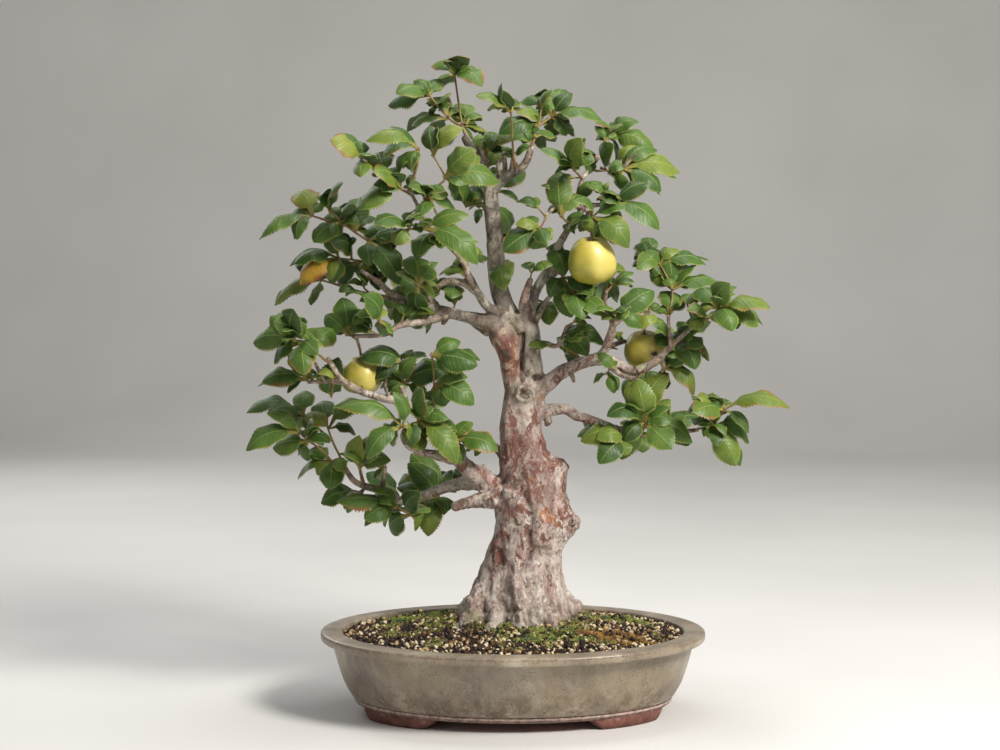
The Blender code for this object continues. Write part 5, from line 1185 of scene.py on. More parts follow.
def build_moss(finishes):
    """Uneven cushions of moss with short sprigs over the solids' patches."""
    rng = random.Random(SEED + 5)
    sprig = bmesh.new()
    bmesh.ops.create_cone(sprig, cap_ends=False, segments=3, radius1=SPRIG_RADII[0],
                          radius2=SPRIG_RADII[1], depth=SPRIG_LENGTH)
    bmesh.ops.translate(sprig, verts=sprig.verts, vec=(0, 0, SPRIG_MIDDLE))
    for name, patch in MOSS.items():
        _, _, across, deep, _, kind = patch
        bm = bmesh.new()
        bm.verts.layers.float.new("grain")
        # The dome's points keep a grain of 0, so it takes the moss's darkest colour: painted shade between
        # the sprigs.
        drawn_rings(bm, CUSHION_SIDES,
                    [cushion_place(patch, 1 - k / CUSHION_RINGS) for k in range(CUSHION_RINGS)])
        face_outward(bm)
        for _ in range(SPRIGS):
            turn, reach = rng.uniform(0, FULL_TURN), math.sqrt(rng.random()) * SPRIG_REACH
            top = cushion_place(patch, min(reach, CUSHION_EDGE))(turn)
            if reach > CUSHION_EDGE:
                top.x += across * (reach - CUSHION_EDGE) * math.cos(turn)
                top.y += deep * (reach - CUSHION_EDGE) * math.sin(turn)
                top.z = soil_height(top.x, top.y) + SPRIG_LIFT
            clump = ground_noise(top.x, top.y, *SPRIG_CLUMPS)
            tint = clamp(0.42 + 0.75 * clump + rng.uniform(-0.14, 0.14), 0.05, 0.85)
            add_sprig(bm, sprig, top, tint, rng, SPRIG_LEAN, SPRIG_SIZES, SPRIG_TIP)
        piece(name + "_cushion", bm, finishes[kind], kind, (name,))
    build_loose_moss(finishes["dry_moss"], sprig)
    sprig.free()


def spread_depth(places, start_depth, end_depth):
    """Points in space along places of the view, their depth changing evenly on the way."""
    total = sum(math.dist(a, b) for a, b in zip(places, places[1:]))
    walked, points = 0.0, []
    for i, place in enumerate(places):
        if i:
            walked += math.dist(place, places[i - 1])
        points.append(at_view(*place, start_depth + (end_depth - start_depth) * walked / total))
    return points


def fine_route(points, step=1.0):
    fine = [points[0]]
    for a, b in zip(points, points[1:]):
        count = max(1, math.ceil((b - a).length / step))
        fine += [a.lerp(b, k / count) for k in range(1, count + 1)]
    return fine


def depth_near(column, row, grown, only=None):
    """The depth of the limb whose line passes nearest this place; the trunk's is 0."""
    on_trunk = column > TRUNK_COLUMN and row > TRUNK_TOP_ROW
    best, depth = (TRUNK_REACH if on_trunk else math.inf), 0.0
    for name, (points, _) in grown.items():
        if only and name != only:
            continue
        for spot in fine_route(points, 4.0):
            away = math.dist(view_of(spot), (column, row))
            if away < best - 0.01:
                best, depth = away, spot.y
    return depth


def grow_limbs():
    """Each limb's points in space and radii, its foot on the limb that it grows from."""
    grown = {}
    for name, (end_depth, route) in LIMBS.items():
        places = [(column, row) for column, row, _ in route]
        start_depth = depth_near(*places[0], grown)
        grown[name] = (spread_depth(places, start_depth, end_depth), [radius for *_, radius in route])
    return grown


def eased(points, radii, step):
    """A smooth route through the points, with its radii, at about this spacing."""
    route, thick = [], []
    last = len(points) - 1
    for i, (a, b) in enumerate(zip(points, points[1:])):
        before, after = points[max(i - 1, 0)], points[min(i + 2, last)]
        count = max(1, round((b - a).length / step))
        for k in range(count):
            t = k / count
            bent = 0.5 * ((2 * a) + (b - before) * t + (2 * before - 5 * a + 4 * b - after) * t * t
                          + (3 * a - before - 3 * b + after) * t ** 3)
            route.append(bent)
            thick.append(radii[i] + (radii[i + 1] - radii[i]) * t)
    return route + [points[-1]], thick + [radii[-1]]


def add_branch(bm, points, radii, form, seed):
    """A round branch along a route, slightly knotted, with a rounded end."""
    sides, step, knots = form
    route, thick = eased(points, radii, step)
    ahead = (route[-1] - route[-2]).normalized()
    route += [route[-1] + ahead * thick[-1] * 0.5, route[-1] + ahead * thick[-1] * 0.8]
    thick += [thick[-1] * 0.8, thick[-1] * 0.35]
    across = (route[1] - route[0]).orthogonal().normalized()

    def ring(centre, side, up, radius):
        def place(turn):
            way = side * math.cos(turn) + up * math.sin(turn)
            lump = noise.noise(centre * 0.09 + way * 0.8 + Vector((seed, 0, 0)))
            return centre + way * radius * (1 + knots * lump)
        return place
    rings = []
    for i, point in enumerate(route):
        way = route[min(i + 1, len(route) - 1)] - route[max(i - 1, 0)]
        way.normalize()
        across = (across - way * across.dot(way)).normalized()
        rings.append(ring(point, across.copy(), way.cross(across), thick[i]))
    drawn_rings(bm, sides, rings)


def near_line(spot, line):
    """Distance in the view from a place to a polyline."""
    best = math.inf
    for a, b in zip(line, line[1:]):
        way = (b[0] - a[0], b[1] - a[1])
        t = ((spot[0] - a[0]) * way[0] + (spot[1] - a[1]) * way[1]) / (way[0] ** 2 + way[1] ** 2)
        t = clamp(t)
        best = min(best, math.dist(spot, (a[0] + way[0] * t, a[1] + way[1] * t)))
    return best


def carve(point, normal):
    """How far a place of the wood's skin moves out, and how dark it is: painted shade in furrows, hollows,
    cut pits and the troughs of the foot's wrinkles.
    """
    column, row = view_of(point)
    wobble = Vector((point.x * 0.07, point.y * 0.07, point.z * 0.05))
    spot = (column + WOBBLE * noise.noise(wobble), row + WOBBLE * noise.noise(wobble + Vector((9, 2, 5))))
    raised, dark = 0.0, 0.0
    broken = 0.55 + 0.9 * noise.noise(point * 0.11 + Vector((4, 4, 4)))
    if normal.y < FRONT_NORMAL:
        for line, half, depth, shade in FURROWS:
            share = fading(near_line(spot, line), half)
            raised -= depth * share * (0.6 + 0.4 * broken)
            dark = max(dark, shade * share ** 3 * broken)
        for line, half, high in RIDGES:
            raised += high * fading(near_line(spot, line), half)
        for *middle, radius, high in SWELLINGS:
            near = math.dist(spot, middle) / radius
            knobbly = 1 + 1.3 * noise.noise(point * 0.24)
            raised += high * math.exp(-near * near * MARK_FALL) * knobbly
        for *middle, radius, deep in HOLLOWS:
            share = math.exp(-(math.dist((column, row), middle) / radius) ** 2 * MARK_FALL)
            raised -= deep * share
            dark = max(dark, 0.9 * share ** 2)
        for at_column, at_row, wide, tall, rim, deep, shade in SCARS:
            reach = math.hypot((column - at_column) / wide, (row - at_row) / tall)
            if reach < SCAR_REACH:
                reach += 0.22 * noise.noise(point * 0.3)
                turn = math.atan2(row - at_row, column - at_column)
                whorl = math.sin(9 * reach + turn + 3 * noise.noise(point * 0.25))
                pit = math.exp(-(reach / 0.75) ** 4)
                raised += rim * fading(reach - 1, 0.3) - deep * pit - 0.6 * pit * whorl
                # Painted shade in the cut's pit, with dark whorls that are partly the cut's own.
                dark = max(dark, shade * pit * (0.3 + 0.8 * max(0.0, whorl)))
    low = clamp((ROUGH_TOP - point.z) / ROUGH_FADE)
    flute, wrinkle, crumple = (noise.noise(Vector((point.x * flat, point.y * flat, point.z * rise)))
                               for flat, rise in ((0.075, 0.014), (0.21, 0.1), (0.5, 0.3)))
    thick = clamp((RELIEF_TOP - point.z) / RELIEF_FADE, LEAST_RELIEF)
    raised += (1.2 + 3.2 * low) * flute * thick + (0.9 + 1.5 * low) * wrinkle * thick
    raised += (0.45 + 0.85 * low) * crumple * thick + 0.3 * noise.noise(point * 0.9) * thick
    # Painted shade in the troughs of the foot's wrinkles and flutes.
    dark = max(dark, 0.8 * low * max(0.0, -wrinkle * 1.5 - 0.22), low * max(0.0, -flute - 0.3) * 0.8)
    return raised, min(1.0, dark)


def trunk_ring(left, right, z, lobes):
    """One ring of the trunk, ribbed by the roots and flutes that run down it."""
    centre_x, half = (left + right) / 2 - MIDDLE_COLUMN, (right - left) / 2
    deep = half * TRUNK_DEPTH_SHARE

    def place(turn):
        rib = 1 + lobes * (math.cos(5 * turn + 0.6) - 1) * 0.5 * abs(math.sin(turn))
        waist = 1 - lobes * 0.15 * abs(math.sin(2 * turn))
        return Vector((centre_x + half * math.cos(turn) * waist, deep * math.sin(turn) * rib, z))
    return place


def build_wood(grown, bark, branch_bark):
    """The trunk and thick limbs in one skin, and the thinner branches that grow from them."""
    _, left, right = TRUNK_ROWS[0]
    places = [trunk_ring(left - ROOT_FLARE, right + ROOT_FLARE, HOLE_FLOOR + GAP, ROOT_LOBES)]
    for i, (low, high) in enumerate(zip(TRUNK_ROWS, TRUNK_ROWS[1:])):
        for t in (0.0, 0.5):
            row, left, right = (a + (b - a) * t for a, b in zip(low, high))
            lobes = max(LEAST_LOBES, ROOT_LOBES - LOBES_LOST_A_ROW * (i + t))
            places.append(trunk_ring(left, right, GROUND_ROW - row, lobes))
    row, left, right = TRUNK_ROWS[-1]
    places.append(trunk_ring(left, right, GROUND_ROW - row, LEAST_LOBES))
    bm, thin = bmesh.new(), bmesh.new()
    drawn_rings(bm, TRUNK_SIDES, places)
    for number, (points, radii) in enumerate(grown.values()):
        thick = [i for i, radius in enumerate(radii) if radius > SKIN_RADIUS]
        if thick:
            end = max(thick[-1] + 1, 2)
            add_branch(bm, points[:end], radii[:end], LIMB_FORM, number)
        if len(thick) < len(points):
            begin = max(0, len(thick) - 2)
            add_branch(thin, points[begin:], radii[begin:], THIN_FORM, number)
    for number, spur in enumerate(SPURS):
        depth = depth_near(*spur[0][:2], grown)
        lean = SPUR_LEANS[number % 2]
        points = spread_depth([(column, row) for column, row, _ in spur], depth, depth + lean)
        add_branch(thin, points, [radius for *_, radius in spur], SPUR_FORM, number + 60)
    for middle, depth, _, height, end in FRUITS.values():
        foot = at_view(*end, depth_near(*end, grown))
        nod = Matrix.Rotation(FRUIT_NOD, 3, "X")
        seat = at_view(*middle, depth) + nod @ Vector((0, 0, height / 2 - STALK_CAVITY))
        bend = seat.lerp(foot, STALK_BEND)
        bend.z = seat.z + STALK_RISE
        points = [foot, bend, seat + Vector((0, 0, STALK_STRAIGHT)), seat + Vector((0, 0, GAP))]
        add_branch(thin, points, STALK_RADII, STALK_FORM, 9)
    for number, root in enumerate(ROOTS):
        add_branch(bm, [Vector(place) for *place, _ in root], [radius for *_, radius in root],
                   ROOT_FORM, number + 90)
    face_outward(bm)
    face_outward(thin)
    trunk = piece("trunk_and_limbs", bm, bark, "bark", ("wood",))
    skin = trunk.modifiers.new("one_skin", "REMESH")
    skin.mode = "VOXEL"
    skin.voxel_size = SKIN_STEP
    settle(trunk)
    finish_skin(trunk)
    piece("branches", thin, branch_bark, "bark")


def bark_shares(point, spot, dark):
    """How much of each colour of bark and each painted shade a place has, in the order of BARK_LAYERS."""
    salmon = 2.1 - near_line(spot, SALMON_STRIP) / 8.5 if spot[0] < 524 else 0.0
    callus = math.hypot((spot[0] - 525) / 11, (spot[1] - 391) / 9)
    grey = max(1.5 - near_line(spot, GREY_STRIP) / 10, 0.8 if spot[0] < 482 and spot[1] < 340 else 0.0,
               (point.z - 374) / 26, 1.8 - callus)
    lichen = max(1.2 - math.dist(spot, (524, 328)) / 16, 1.0 - math.dist(spot, (598, 356)) / 14,
                 0.8 if spot[0] < 486 and spot[1] > 380 else 0.0, 0.2 if point.z > 302 else 0.0)
    patches = [max(share * math.exp(-((spot[0] - column) / wide) ** 2 - ((spot[1] - row) / tall) ** 2)
                   for column, row, wide, tall, share in PATCHES[name])
               for name in ("rust", "amber", "inner_limb_shade")]
    return dark, salmon, grey, lichen, *patches


def finish_skin(trunk):
    """Relax the remeshed skin, carve its marks and note where each colour of bark and each painted shade
    goes.
    """
    bm = bmesh.new()
    bm.from_mesh(trunk.data)
    bmesh.ops.scale(bm, vec=(1 / MM, 1 / MM, 1 / MM), verts=bm.verts)
    for _ in range(SKIN_SMOOTHINGS):
        bmesh.ops.smooth_vert(bm, verts=bm.verts, factor=0.5, use_axis_x=True, use_axis_y=True,
                              use_axis_z=True)
    bm.normal_update()
    for name in BARK_LAYERS:
        bm.verts.layers.float.new(name)
    layers = [bm.verts.layers.float[name] for name in BARK_LAYERS]
    moves = []
    for vert in bm.verts:
        raised, dark = carve(vert.co, vert.normal)
        moves.append((vert, vert.normal * raised))
        for layer, share in zip(layers, bark_shares(vert.co, view_of(vert.co), dark)):
            vert[layer] = clamp(share)
    for vert, move in moves:
        vert.co += move
    bmesh.ops.scale(bm, vec=(MM, MM, MM), verts=bm.verts)
    bm.to_mesh(trunk.data)
    bm.free()
    trunk.data.shade_smooth()


def build_fruit(name, skin):
    """A ripening quince, nodding toward the front, with a dimple at each end and faint ribs."""
    middle, depth, width, height, _ = FRUITS[name]
    centre = at_view(*middle, depth)
    start = random.Random(len(name)).uniform(0, 6)
    bm = bmesh.new()
    dimple = bm.verts.layers.float.new("dimple")
    bruise = bm.verts.layers.float.new("bruise")
    bmesh.ops.create_uvsphere(bm, u_segments=FRUIT_SIDES, v_segments=FRUIT_ROWS, radius=1.0)
    nod = Matrix.Rotation(FRUIT_NOD, 3, "X")
    for vert in bm.verts:
        way = vert.co.copy()
        flat = math.hypot(way.x, way.y)
        turn = math.atan2(way.y, way.x)
        lobed = 0.02 + 0.035 * max(0.0, 0.3 - way.z)
        rib = 1 + lobed * math.cos(5 * turn + 0.4) * flat + 0.014 * math.sin(3 * turn + start)
        wide = flat ** 0.9 * width / 2 * rib * (1 - 0.05 * way.z)
        cavity = STALK_CAVITY * fading(flat, 0.27) if way.z > 0 else -CALYX_CAVITY * fading(flat, 0.3)
        rise = way.z * height / 2 - cavity
        lump = 1 + 0.035 * noise.noise(way * 1.5 + Vector((start, 0, 0)))
        bulge = 1 + 0.05 * max(0.0, math.cos(turn + 0.5)) * max(0.0, -way.z)
        skewed = Vector((math.cos(turn) * wide, math.sin(turn) * wide, rise)) * lump * bulge
        vert.co = centre + nod @ skewed
        vert[dimple] = 1.2 * fading(flat, 0.2)
        if name == "fruit_right" and vert.co.y < centre.y:
            column, row = view_of(vert.co)
            mark = (1 - math.hypot((column - BRUISE_COLUMN) / 5.5, (row - BRUISE_ROW) / 3)
                    + 0.6 * noise.noise(vert.co * 0.5))
            vert[bruise] = clamp(mark * 3)
    piece(name + "_skin", bm, skin, "fruit", (name,))


def leaf_template():
    """A blade and its stalk laid flat: x along it, y across in half widths, z 0 below, 1 above."""
    bm = bmesh.new()
    bmesh.ops.create_grid(bm, x_segments=LEAF_STEPS, y_segments=4, size=0.5)
    rims = [edge for edge in bm.edges if len(edge.link_faces) == 1
            and abs(edge.verts[0].co.y - edge.verts[1].co.y) < 1e-6
            and max(edge.verts[0].co.x, edge.verts[1].co.x) > -0.5 + 2.5 / LEAF_STEPS]
    bmesh.ops.subdivide_edges(bm, edges=rims, cuts=1)
    for vert in bm.verts:
        step = (vert.co.x + 0.5) * LEAF_STEPS
        along = (FIRST_STEP * min(1.0, step)
                 + (1 - FIRST_STEP) * max(0.0, step - 1) / (LEAF_STEPS - 1))
        across = vert.co.y * 2
        if abs(vert.co.y) > 0.49 and abs(step - round(step)) > 0.1:
            across *= TOOTH_OUT
            along += TOOTH_FORWARD
        elif abs(across) > 0.99 and 1 < step < LEAF_STEPS - 0.1:
            across *= NOTCH_IN
        vert.co = Vector((along, across, 0.0))
    for vert in new_points(bmesh.ops.extrude_face_region(bm, geom=bm.faces[:])):
        vert.co.z = 1.0
    for edge in bm.edges:
        if abs(edge.verts[0].co.z - edge.verts[1].co.z) < 0.5 and any(
                abs(face.verts[0].co.z - face.verts[1].co.z) > 0.5
                or abs(face.verts[1].co.z - face.verts[2].co.z) > 0.5 for face in edge.link_faces):
            edge.smooth = False
    face_outward(bm)
    return bm


def blade_share(along):
    """How far along its blade a place of the leaf is, past the stalk."""
    return (along - STALK_SHARE) / (1 - STALK_SHARE)


def half_width(along):
    """A quince leaf's half width along it, as a share of its widest, thin along its stalk."""
    if along < STALK_SHARE:
        return 0.05
    share = min(1.0, blade_share(along))
    return max(0.03, math.sin(math.pi * share ** 0.86) ** (0.5 + 0.16 * share))


def leaf_mesh():
    """An empty bmesh with the layers that a leaf's colours are read from."""
    bm = bmesh.new()
    for name in LEAF_LAYERS:
        bm.verts.layers.float.new(name)
    bm.loops.layers.uv.new("blade")
    return bm


def add_leaf(bm, template, leaf, seed):
    """One leaf that arches over along its midrib, its sides hanging and its margin waved."""
    foot, tip, facing, width, tint = leaf
    rng = random.Random(seed)
    axis = tip - foot
    length = axis.length
    axis.normalize()
    normal = (facing - axis * facing.dot(axis)).normalized()
    side = axis.cross(normal)
    lift = normal + Vector((0, 0, ARCH_UPRIGHT))
    lift = (lift - axis * lift.dot(axis)).normalized()
    arch = min(length * rng.uniform(*ARCHES), max(LEAST_ARCH, ARCH_TOP - foot.z))
    hang, sway = rng.uniform(*HANGS), rng.uniform(*SWAYS)
    curl, phase, wave = rng.uniform(*CURLS), rng.uniform(0, 6.3), rng.uniform(*WAVES)
    tone, turned = tint or (
        clamp(rng.gauss(TONE_MIDDLE, TONE_SPREAD)),
        MOST_TURNED * rng.random() ** 2 if rng.random() < TURNED_SHARE else 0.0)
    verts = copied(bm, template)
    layers = [bm.verts.layers.float[key] for key in LEAF_LAYERS]
    blade_map = bm.loops.layers.uv["blade"]
    flats = {}
    for vert in verts:
        along, across, top = vert.co
        flats[vert] = (across * 0.5 + 0.5, max(0.0, blade_share(along)))
        half = half_width(along) * width / 2
        uneven = 1 + 0.12 * noise.noise(Vector((along * 5, 3 if across > 0 else 8, phase)))
        out = across * half * uneven
        ripple = wave * math.sin(along * MARGIN_WAVE + phase + (SIDES_APART if across > 0 else 0))
        ripple = ripple * across * across
        drop = -hang * abs(out) * abs(across) + hang * half * 0.3 + ripple * (half / FULL_WAVE_HALF)
        end_curl = curl * max(0.0, along - CURL_START) ** 2 * CURL_GAIN
        bend = sway * math.sin(math.pi * along)
        thick = BLADE_THICK if along > STALK_SHARE else STALK_THICK
        vert.co = (foot + axis * length * along + side * (out + bend) + normal * (drop - end_curl)
                   + lift * arch * 4 * along * (1 - along) + normal * (top - 0.5) * thick)
        for layer, value in zip(layers, (tone, turned, 1.0 - top)):
            vert[layer] = value
    for face in {face for vert in verts for face in vert.link_faces}:
        face.smooth = True
        for loop in face.loops:
            loop[blade_map].uv = flats[loop.vert]


def tree_of(node):
    """A search tree of a CAD node's triangles, in millimetres."""
    mesh = node.data
    mesh.calc_loop_triangles()
    return BVHTree.FromPolygons([vert.co / MM for vert in mesh.vertices],
                                [tuple(tri.vertices) for tri in mesh.loop_triangles])


def corners_of(node):
    """A search tree of a CAD node's corners, in millimetres."""
    corners = KDTree(len(node.data.vertices))
    for vert in node.data.vertices:
        corners.insert(vert.co / MM, vert.index)
    corners.balance()
    return corners


def inside(tree, point):
    """Whether a point lies within the closed body of a search tree."""
    hits, start, way = 0, point, Vector((0.13, 0.21, 0.97)).normalized()
    for _ in range(40):
        found = tree.ray_cast(start, way)
        if found[0] is None:
            break
        hits += 1
        start = found[0] + way * 0.01
    return hits % 2 == 1


def leave_wood(points, radius, wood_tree):
    """A twig's route from where it leaves the wood, its foot a little inside the bark."""
    start = 0
    fine = fine_route(points, TWIG_STEP)
    for i, point in enumerate(fine[:-LAST_STEPS]):
        distance = wood_tree.find_nearest(point)[3]
        room = -distance if inside(wood_tree, point) else distance
        if room < radius + TWIG_RISE:
            start = i + 1
        elif i > start + CLEAR_STEPS:
            break
    rise = fine[start]
    seat = wood_tree.find_nearest(rise)[0]
    out = (rise - seat).normalized()
    kept, walked = [seat - out * TWIG_SEAT, rise], 0.0
    for a, b in zip(points, points[1:]):
        walked += (b - a).length
        if walked > start * TWIG_STEP + LEAST_WAY:
            kept.append(b)
    return kept


def nearest_on(routes, spot):
    """The point on the twigs that the view shows nearest this place."""
    return min((point for points, _ in routes for point in fine_route(points)),
               key=lambda point: math.dist(view_of(point), spot))


def twig_routes(twigs, lean, grown, wood_tree, parent):
    """The shoot's twigs, as the solids have them."""
    routes = []
    for k, route in enumerate(twigs):
        if k == 0:
            start = depth_near(*route[0], grown, parent)
            points = leave_wood(spread_depth(route, start, start + lean), TWIG_FOOT_RADIUS, wood_tree)
        else:
            start = nearest_on(routes, route[0]).y
            points = spread_depth(route, start, start + lean * SIDE_LEAN)
        radii = [TWIG_RADIUS - TWIG_TAPER * i / (len(points) - 1) for i in range(len(points))]
        routes.append((points, radii))
    return routes


def leaf_places(spur_point, leaf, lean):
    """Each try that the solids make at this leaf: tip, facing and width."""
    column, row, face = leaf
    rng = random.Random(SEED + 1000 * column + row)
    seen = math.dist(view_of(spur_point), (column, row))
    length = max(LEAF_LENGTH * rng.uniform(*LENGTH_SHARES), seen * LEAST_SLANT)
    length = min(length, max(seen * MOST_SLANT, LEAST_LEAF))
    away = math.sqrt(max(length * length - seen * seen, 0.0))
    forward = -1 if rng.random() < (WITH_LEAN if lean < 0 else 1 - WITH_LEAN) else 1
    width = min(LEAF_WIDTH, length * LEAF_SLIMNESS)
    for attempt in range(LEAF_TRIES):
        turn = forward if attempt % 2 == 0 else -forward
        share = 1.0 - LESS_TURN * (attempt // 2)
        jitter = Vector((rng.uniform(-1, 1), 0, rng.uniform(-1, 1))) * (attempt * 0.5)
        tip = at_view(column, row, spur_point.y + turn * away * share) + jitter
        facing = Vector((rng.uniform(-0.25, 0.25), -0.1 - face * 0.1, 1.0 - face * 0.055))
        facing += Vector((rng.uniform(-1, 1), rng.uniform(-1, 1), 0)) * (0.03 * attempt)
        rng.random()
        yield tip, facing, width * LEAF_FULLER


def add_bud(bm, point, way):
    """A small pointed bud on a twig."""
    turned = way.to_track_quat("Z", "X").to_matrix()
    for vert in bmesh.ops.create_icosphere(bm, subdivisions=2, radius=1.0)["verts"]:
        narrow = 1.0 - 0.35 * max(0.0, vert.co.z)
        vert.co = point + turned @ Vector((vert.co.x * 1.35 * narrow, vert.co.y * 1.35 * narrow,
                                           vert.co.z * 2.3 + 1.2))


def build_shoots(grown, leaf, young_twig):
    """Each leafy shoot in the solids' places, with the further leaves that go with it."""
    wood_tree = tree_of(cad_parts["wood"])
    template = leaf_template()
    for number, (name, (lean, twigs, spurs)) in enumerate(SHOOTS.items()):
        parent = None
        if name.startswith("back_"):
            parent = name + "_limb"
        elif name not in FORWARD_SHOOTS:
            lean += SPREAD * math.sin(GOLDEN_TURN * number) + SPREAD_BACK
        corners = corners_of(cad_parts["shoot_" + name])

        def miss(routes):
            return sum(abs(corners.find(points[-1])[2] - TWIG_TIP_RADIUS) for points, _ in routes)
        routes = min((twig_routes(twigs, lean + shift, grown, wood_tree, parent)
                      for shift in SHIFTS), key=miss)
        rng = random.Random(SEED + number)
        twig = bmesh.new()
        for points, radii in routes:
            add_branch(twig, points, radii, TWIG_FORM, number)
            add_bud(twig, points[-1], (points[-1] - points[-2]).normalized())
        leaves = []
        for spur, spur_leaves in spurs.items():
            spur_point = nearest_on(routes, spur)
            for one in spur_leaves:
                place = min(leaf_places(spur_point, one, lean),
                            key=lambda place: corners.find(place[0])[2])
                leaves.append((spur_point, *place, TINTS.get(one[:2])))
            add_bud(twig, spur_point,
                    Vector((rng.uniform(-1, 1), -0.6, rng.uniform(0.2, 1))).normalized())
        for *spur, column, row, face, behind in MORE_LEAVES.get(name, ()):
            near = nearest_on(routes + list(grown.values()), spur)
            foot = at_view(*spur, near.y + behind)
            if (foot - near).length > 3:
                add_branch(twig, [near, near.lerp(foot, 0.5) + Vector((0, 0, 1.5)), foot],
                           SIDE_TWIG_RADII, SIDE_TWIG_FORM, column)
            place = next(leaf_places(foot, (column, row, face), lean))
            leaves.append((foot, *place, TINTS.get((column, row))))
        leaves += (small_leaves(leaves, rng) + hind_leaves(leaves, twig, rng)
                   + small_leaves(leaves, rng))
        blades = leaf_mesh()
        for count, one in enumerate(leaves):
            one[1].y = clamp(one[1].y, -LEAF_REACH_Y, LEAF_REACH_Y)
            add_leaf(blades, template, one, SEED + 100 * number + count)
        piece("leaves_" + name, blades, leaf, "young_leaf" if number % 2 else "leaf",
              ("shoot_" + name,))
        face_outward(twig)
        piece("twig_" + name, twig, young_twig, "young_leaf")
    template.free()


def small_leaves(leaves, rng):
    """Smaller leaves that leave a spur between its larger ones, turned off to a side."""
    made = []
    for foot, tip, facing, width, _ in leaves:
        if rng.random() > SMALL_LEAF_SHARE:
            continue
        share = rng.uniform(*SMALL_SIZES)
        turn = Matrix.Rotation(rng.choice((-1, 1)) * rng.uniform(*SMALL_TURNS), 3, "Y")
        way = turn @ (tip - foot) * share
        way.y += rng.uniform(*SMALL_BACK)
        way.z = max(way.z, -SMALL_DROOP * way.length)
        nods = facing + Vector((rng.uniform(-0.5, 0.5), rng.uniform(-0.4, 0.4), 0.2))
        made.append((foot.copy(), foot + way, nods, width * share * SMALL_FULLER, None))
    return made


def hind_leaves(leaves, twig, rng):
    """Leaves further back on short twigs, seen from the sides and through the front ones, darkened as
    painted shade.
    """
    made = []
    for foot, tip, facing, width, _ in leaves:
        back = rng.uniform(*HIND_BACK)
        if rng.random() > HIND_LEAF_SHARE or foot.y + back > HIND_FOOT_Y:
            continue
        start = at_view(*view_of(foot), foot.y + back)
        end = at_view(*view_of(tip), min(HIND_Y, tip.y + back * rng.uniform(*HIND_TIP_BACK)))
        end.x = clamp(end.x + rng.uniform(*HIND_STRAY), HIND_LEFT, HIND_RIGHT)
        end.z = min(HIND_TOP, end.z + rng.uniform(*HIND_STRAY))
        add_branch(twig, [foot, foot.lerp(start, 0.5) + Vector((0, 0, 2)), start],
                   HIND_TWIG_RADII, HIND_TWIG_FORM, back)
        nods = facing + Vector((rng.uniform(-0.4, 0.4), rng.uniform(0, 0.9), 0.4))
        # Painted shade: hind leaves take darker tones than the front ones.
        made.append((start, end, nods, width * HIND_NARROWER, (rng.uniform(*HIND_SHADED_TONES), 0.0)))
    return made


def within(point, box):
    left, right, deep, top = box
    return left < point.x < right and abs(point.y) <= deep and point.z <= top


def hides_fruit(foot, tip):
    """Whether a tuft's leaf would cover or shade a fruit."""
    seen = view_of(tip.lerp(foot, 0.4))
    return any(math.dist(seen, middle) < TUFT_OFF_FRUIT and tip.y < depth + TUFT_BEHIND_FRUIT
               for middle, depth, *_ in FRUITS.values())


def build_tufts(grown, leaf, young_twig):
    """Short spurs with small leaves along the thinner limbs, inside the crown."""
    rng = random.Random(SEED + 3)
    template = leaf_template()
    blades, twig = leaf_mesh(), bmesh.new()
    for name, (points, radii) in grown.items():
        if name in BARE_LIMBS:
            continue
        route, thick = eased(points, radii, TUFT_SPACING)
        for point, radius in zip(route[1:], thick[1:]):
            if radius > TUFT_LIMB_RADIUS or rng.random() > TUFT_SHARE:
                continue
            way = random_vector(rng, (-1, 1), (-0.5, 1), (-0.3, 1)).normalized()
            foot = point + way * (radius + rng.uniform(*TUFT_RISES))
            if not within(foot, TUFT_FOOT_BOX):
                continue
            add_branch(twig, [point, foot], TUFT_TWIG_RADII, TUFT_TWIG_FORM, point.x)
            for _ in range(rng.randint(*TUFT_LEAVES)):
                spread = random_vector(rng, (-1, 1), (-0.7, 0.7), (-0.5, 0.6))
                length = rng.uniform(*TUFT_LENGTHS)
                tip = foot + (way + spread).normalized() * length
                if not within(tip, TUFT_TIP_BOX) or hides_fruit(foot, tip):
                    continue
                facing = Vector((rng.uniform(-0.4, 0.4), -0.7, 0.8))
                add_leaf(blades, template, (foot, tip, facing, length * LEAF_SLIMNESS, None),
                         int(tip.x * 97))
    piece("tuft_leaves", blades, leaf, "leaf")
    face_outward(twig)
    piece("tuft_twigs", twig, young_twig, "young_leaf")
    template.free()


def give_screens(finish):
    """The screens' own solids, with their finish."""
    for side in ("left", "right"):
        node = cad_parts["drain_screen_" + side]
        node.data.materials.clear()
        node.data.materials.append(finish)


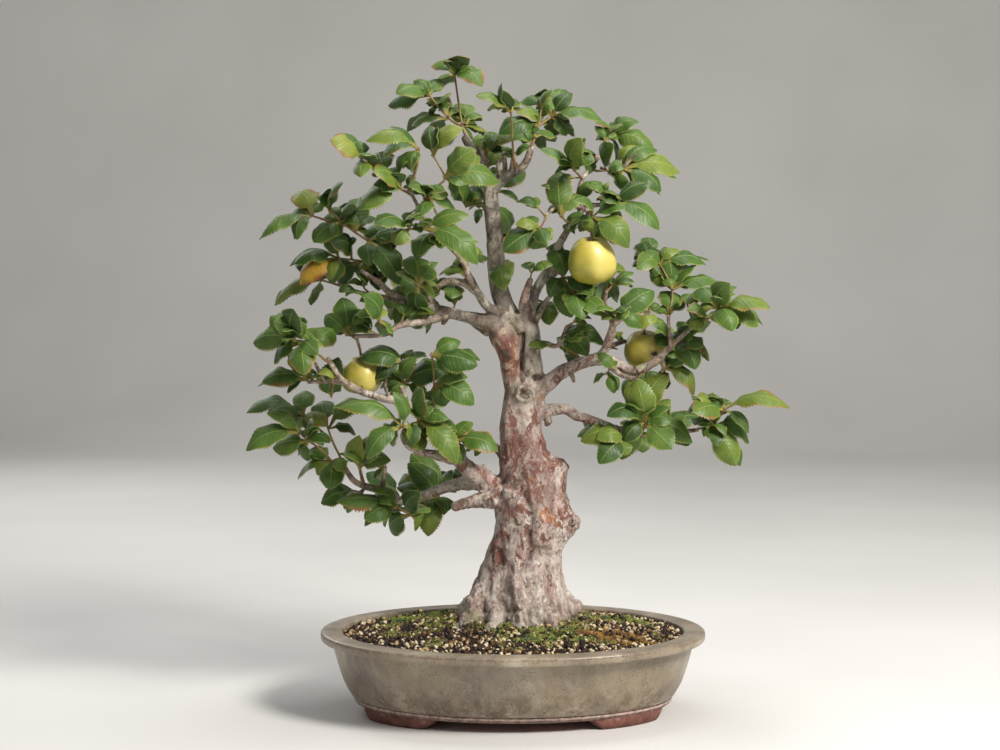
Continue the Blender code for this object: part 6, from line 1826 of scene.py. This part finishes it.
def build_studio():
    """A pale floor that sweeps up behind, a soft key from the right and fill from the left."""
    bm = bmesh.new()
    for vert in bmesh.ops.create_grid(bm, x_segments=1, y_segments=1, size=1.0)["verts"]:
        vert.co = Vector((vert.co.x * FLOOR_HALF, FLOOR_FRONT if vert.co.y < 0 else FLOOR_BACK, 0))
    edge = [edge for edge in bm.edges if all(vert.co.y == FLOOR_BACK for vert in edge.verts)]
    for k in range(1, SWEEP_STEPS + 1):
        turn = math.pi / 2 * k / SWEEP_STEPS
        raised, edge = new_rim(bmesh.ops.extrude_edge_only(bm, edges=edge))
        for vert in raised:
            vert.co.y = FLOOR_BACK + SWEEP * math.sin(turn)
            vert.co.z = SWEEP * (1 - math.cos(turn))
    raised, edge = new_rim(bmesh.ops.extrude_edge_only(bm, edges=edge))
    for vert in raised:
        vert.co.z = WALL_HEIGHT
    bmesh.ops.scale(bm, vec=(MM, MM, MM), verts=bm.verts)
    face_outward(bm)
    floor = in_scene("studio_floor", mesh_of("studio_floor", bm))
    floor.data.shade_smooth()
    floor.data.materials.append(floor_finish())
    floor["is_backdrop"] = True
    world = bpy.data.worlds.new("studio")
    world.use_nodes = True
    sky = world.node_tree.nodes["Background"]
    sky.inputs["Color"].default_value = (1.0, 1.0, 1.0, 1)
    sky.inputs["Strength"].default_value = SKY_LIGHT
    bpy.context.scene.world = world
    bpy.context.scene.view_settings.view_transform = "Standard"
    for name, (place, size, power, colour) in LIGHTS.items():
        light = bpy.data.lights.new(name, "AREA")
        light.size, light.energy, light.color = size, power, colour
        lamp = in_scene(name, light)
        lamp.location = place
        lamp.rotation_euler = (LIGHTS_MEET - Vector(place)).to_track_quat("-Z", "Y").to_euler()


def build_camera():
    lens = bpy.data.cameras.new("front")
    lens.lens, lens.sensor_width = LENS, SENSOR
    lens.clip_start, lens.clip_end = 0.05, 50
    camera = in_scene("front", lens)
    camera.location = EYE * MM
    camera.rotation_euler = (math.pi / 2 - CAMERA_DIP, 0, 0)
    bpy.context.scene.camera = camera


def main():
    build_camera()
    build_studio()
    grown = grow_limbs()
    build_pot(glaze_finish(), clay_finish())
    build_soil(soil_finish(), grain_finish())
    build_moss({kind: moss_finish(*shades) for kind, shades in MOSS_SHADES.items()})
    build_wood(grown, bark_finish(), twig_finish())
    skin = fruit_finish()
    for name in FRUITS:
        build_fruit(name, skin)
    leaf, young_twig = leaf_finish(), green_twig_finish()
    build_shoots(grown, leaf, young_twig)
    build_tufts(grown, leaf, young_twig)
    give_screens(screen_finish())
    boxes = [[list(corner) for corner in box] for box in (CAD_BOX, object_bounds())]


main()
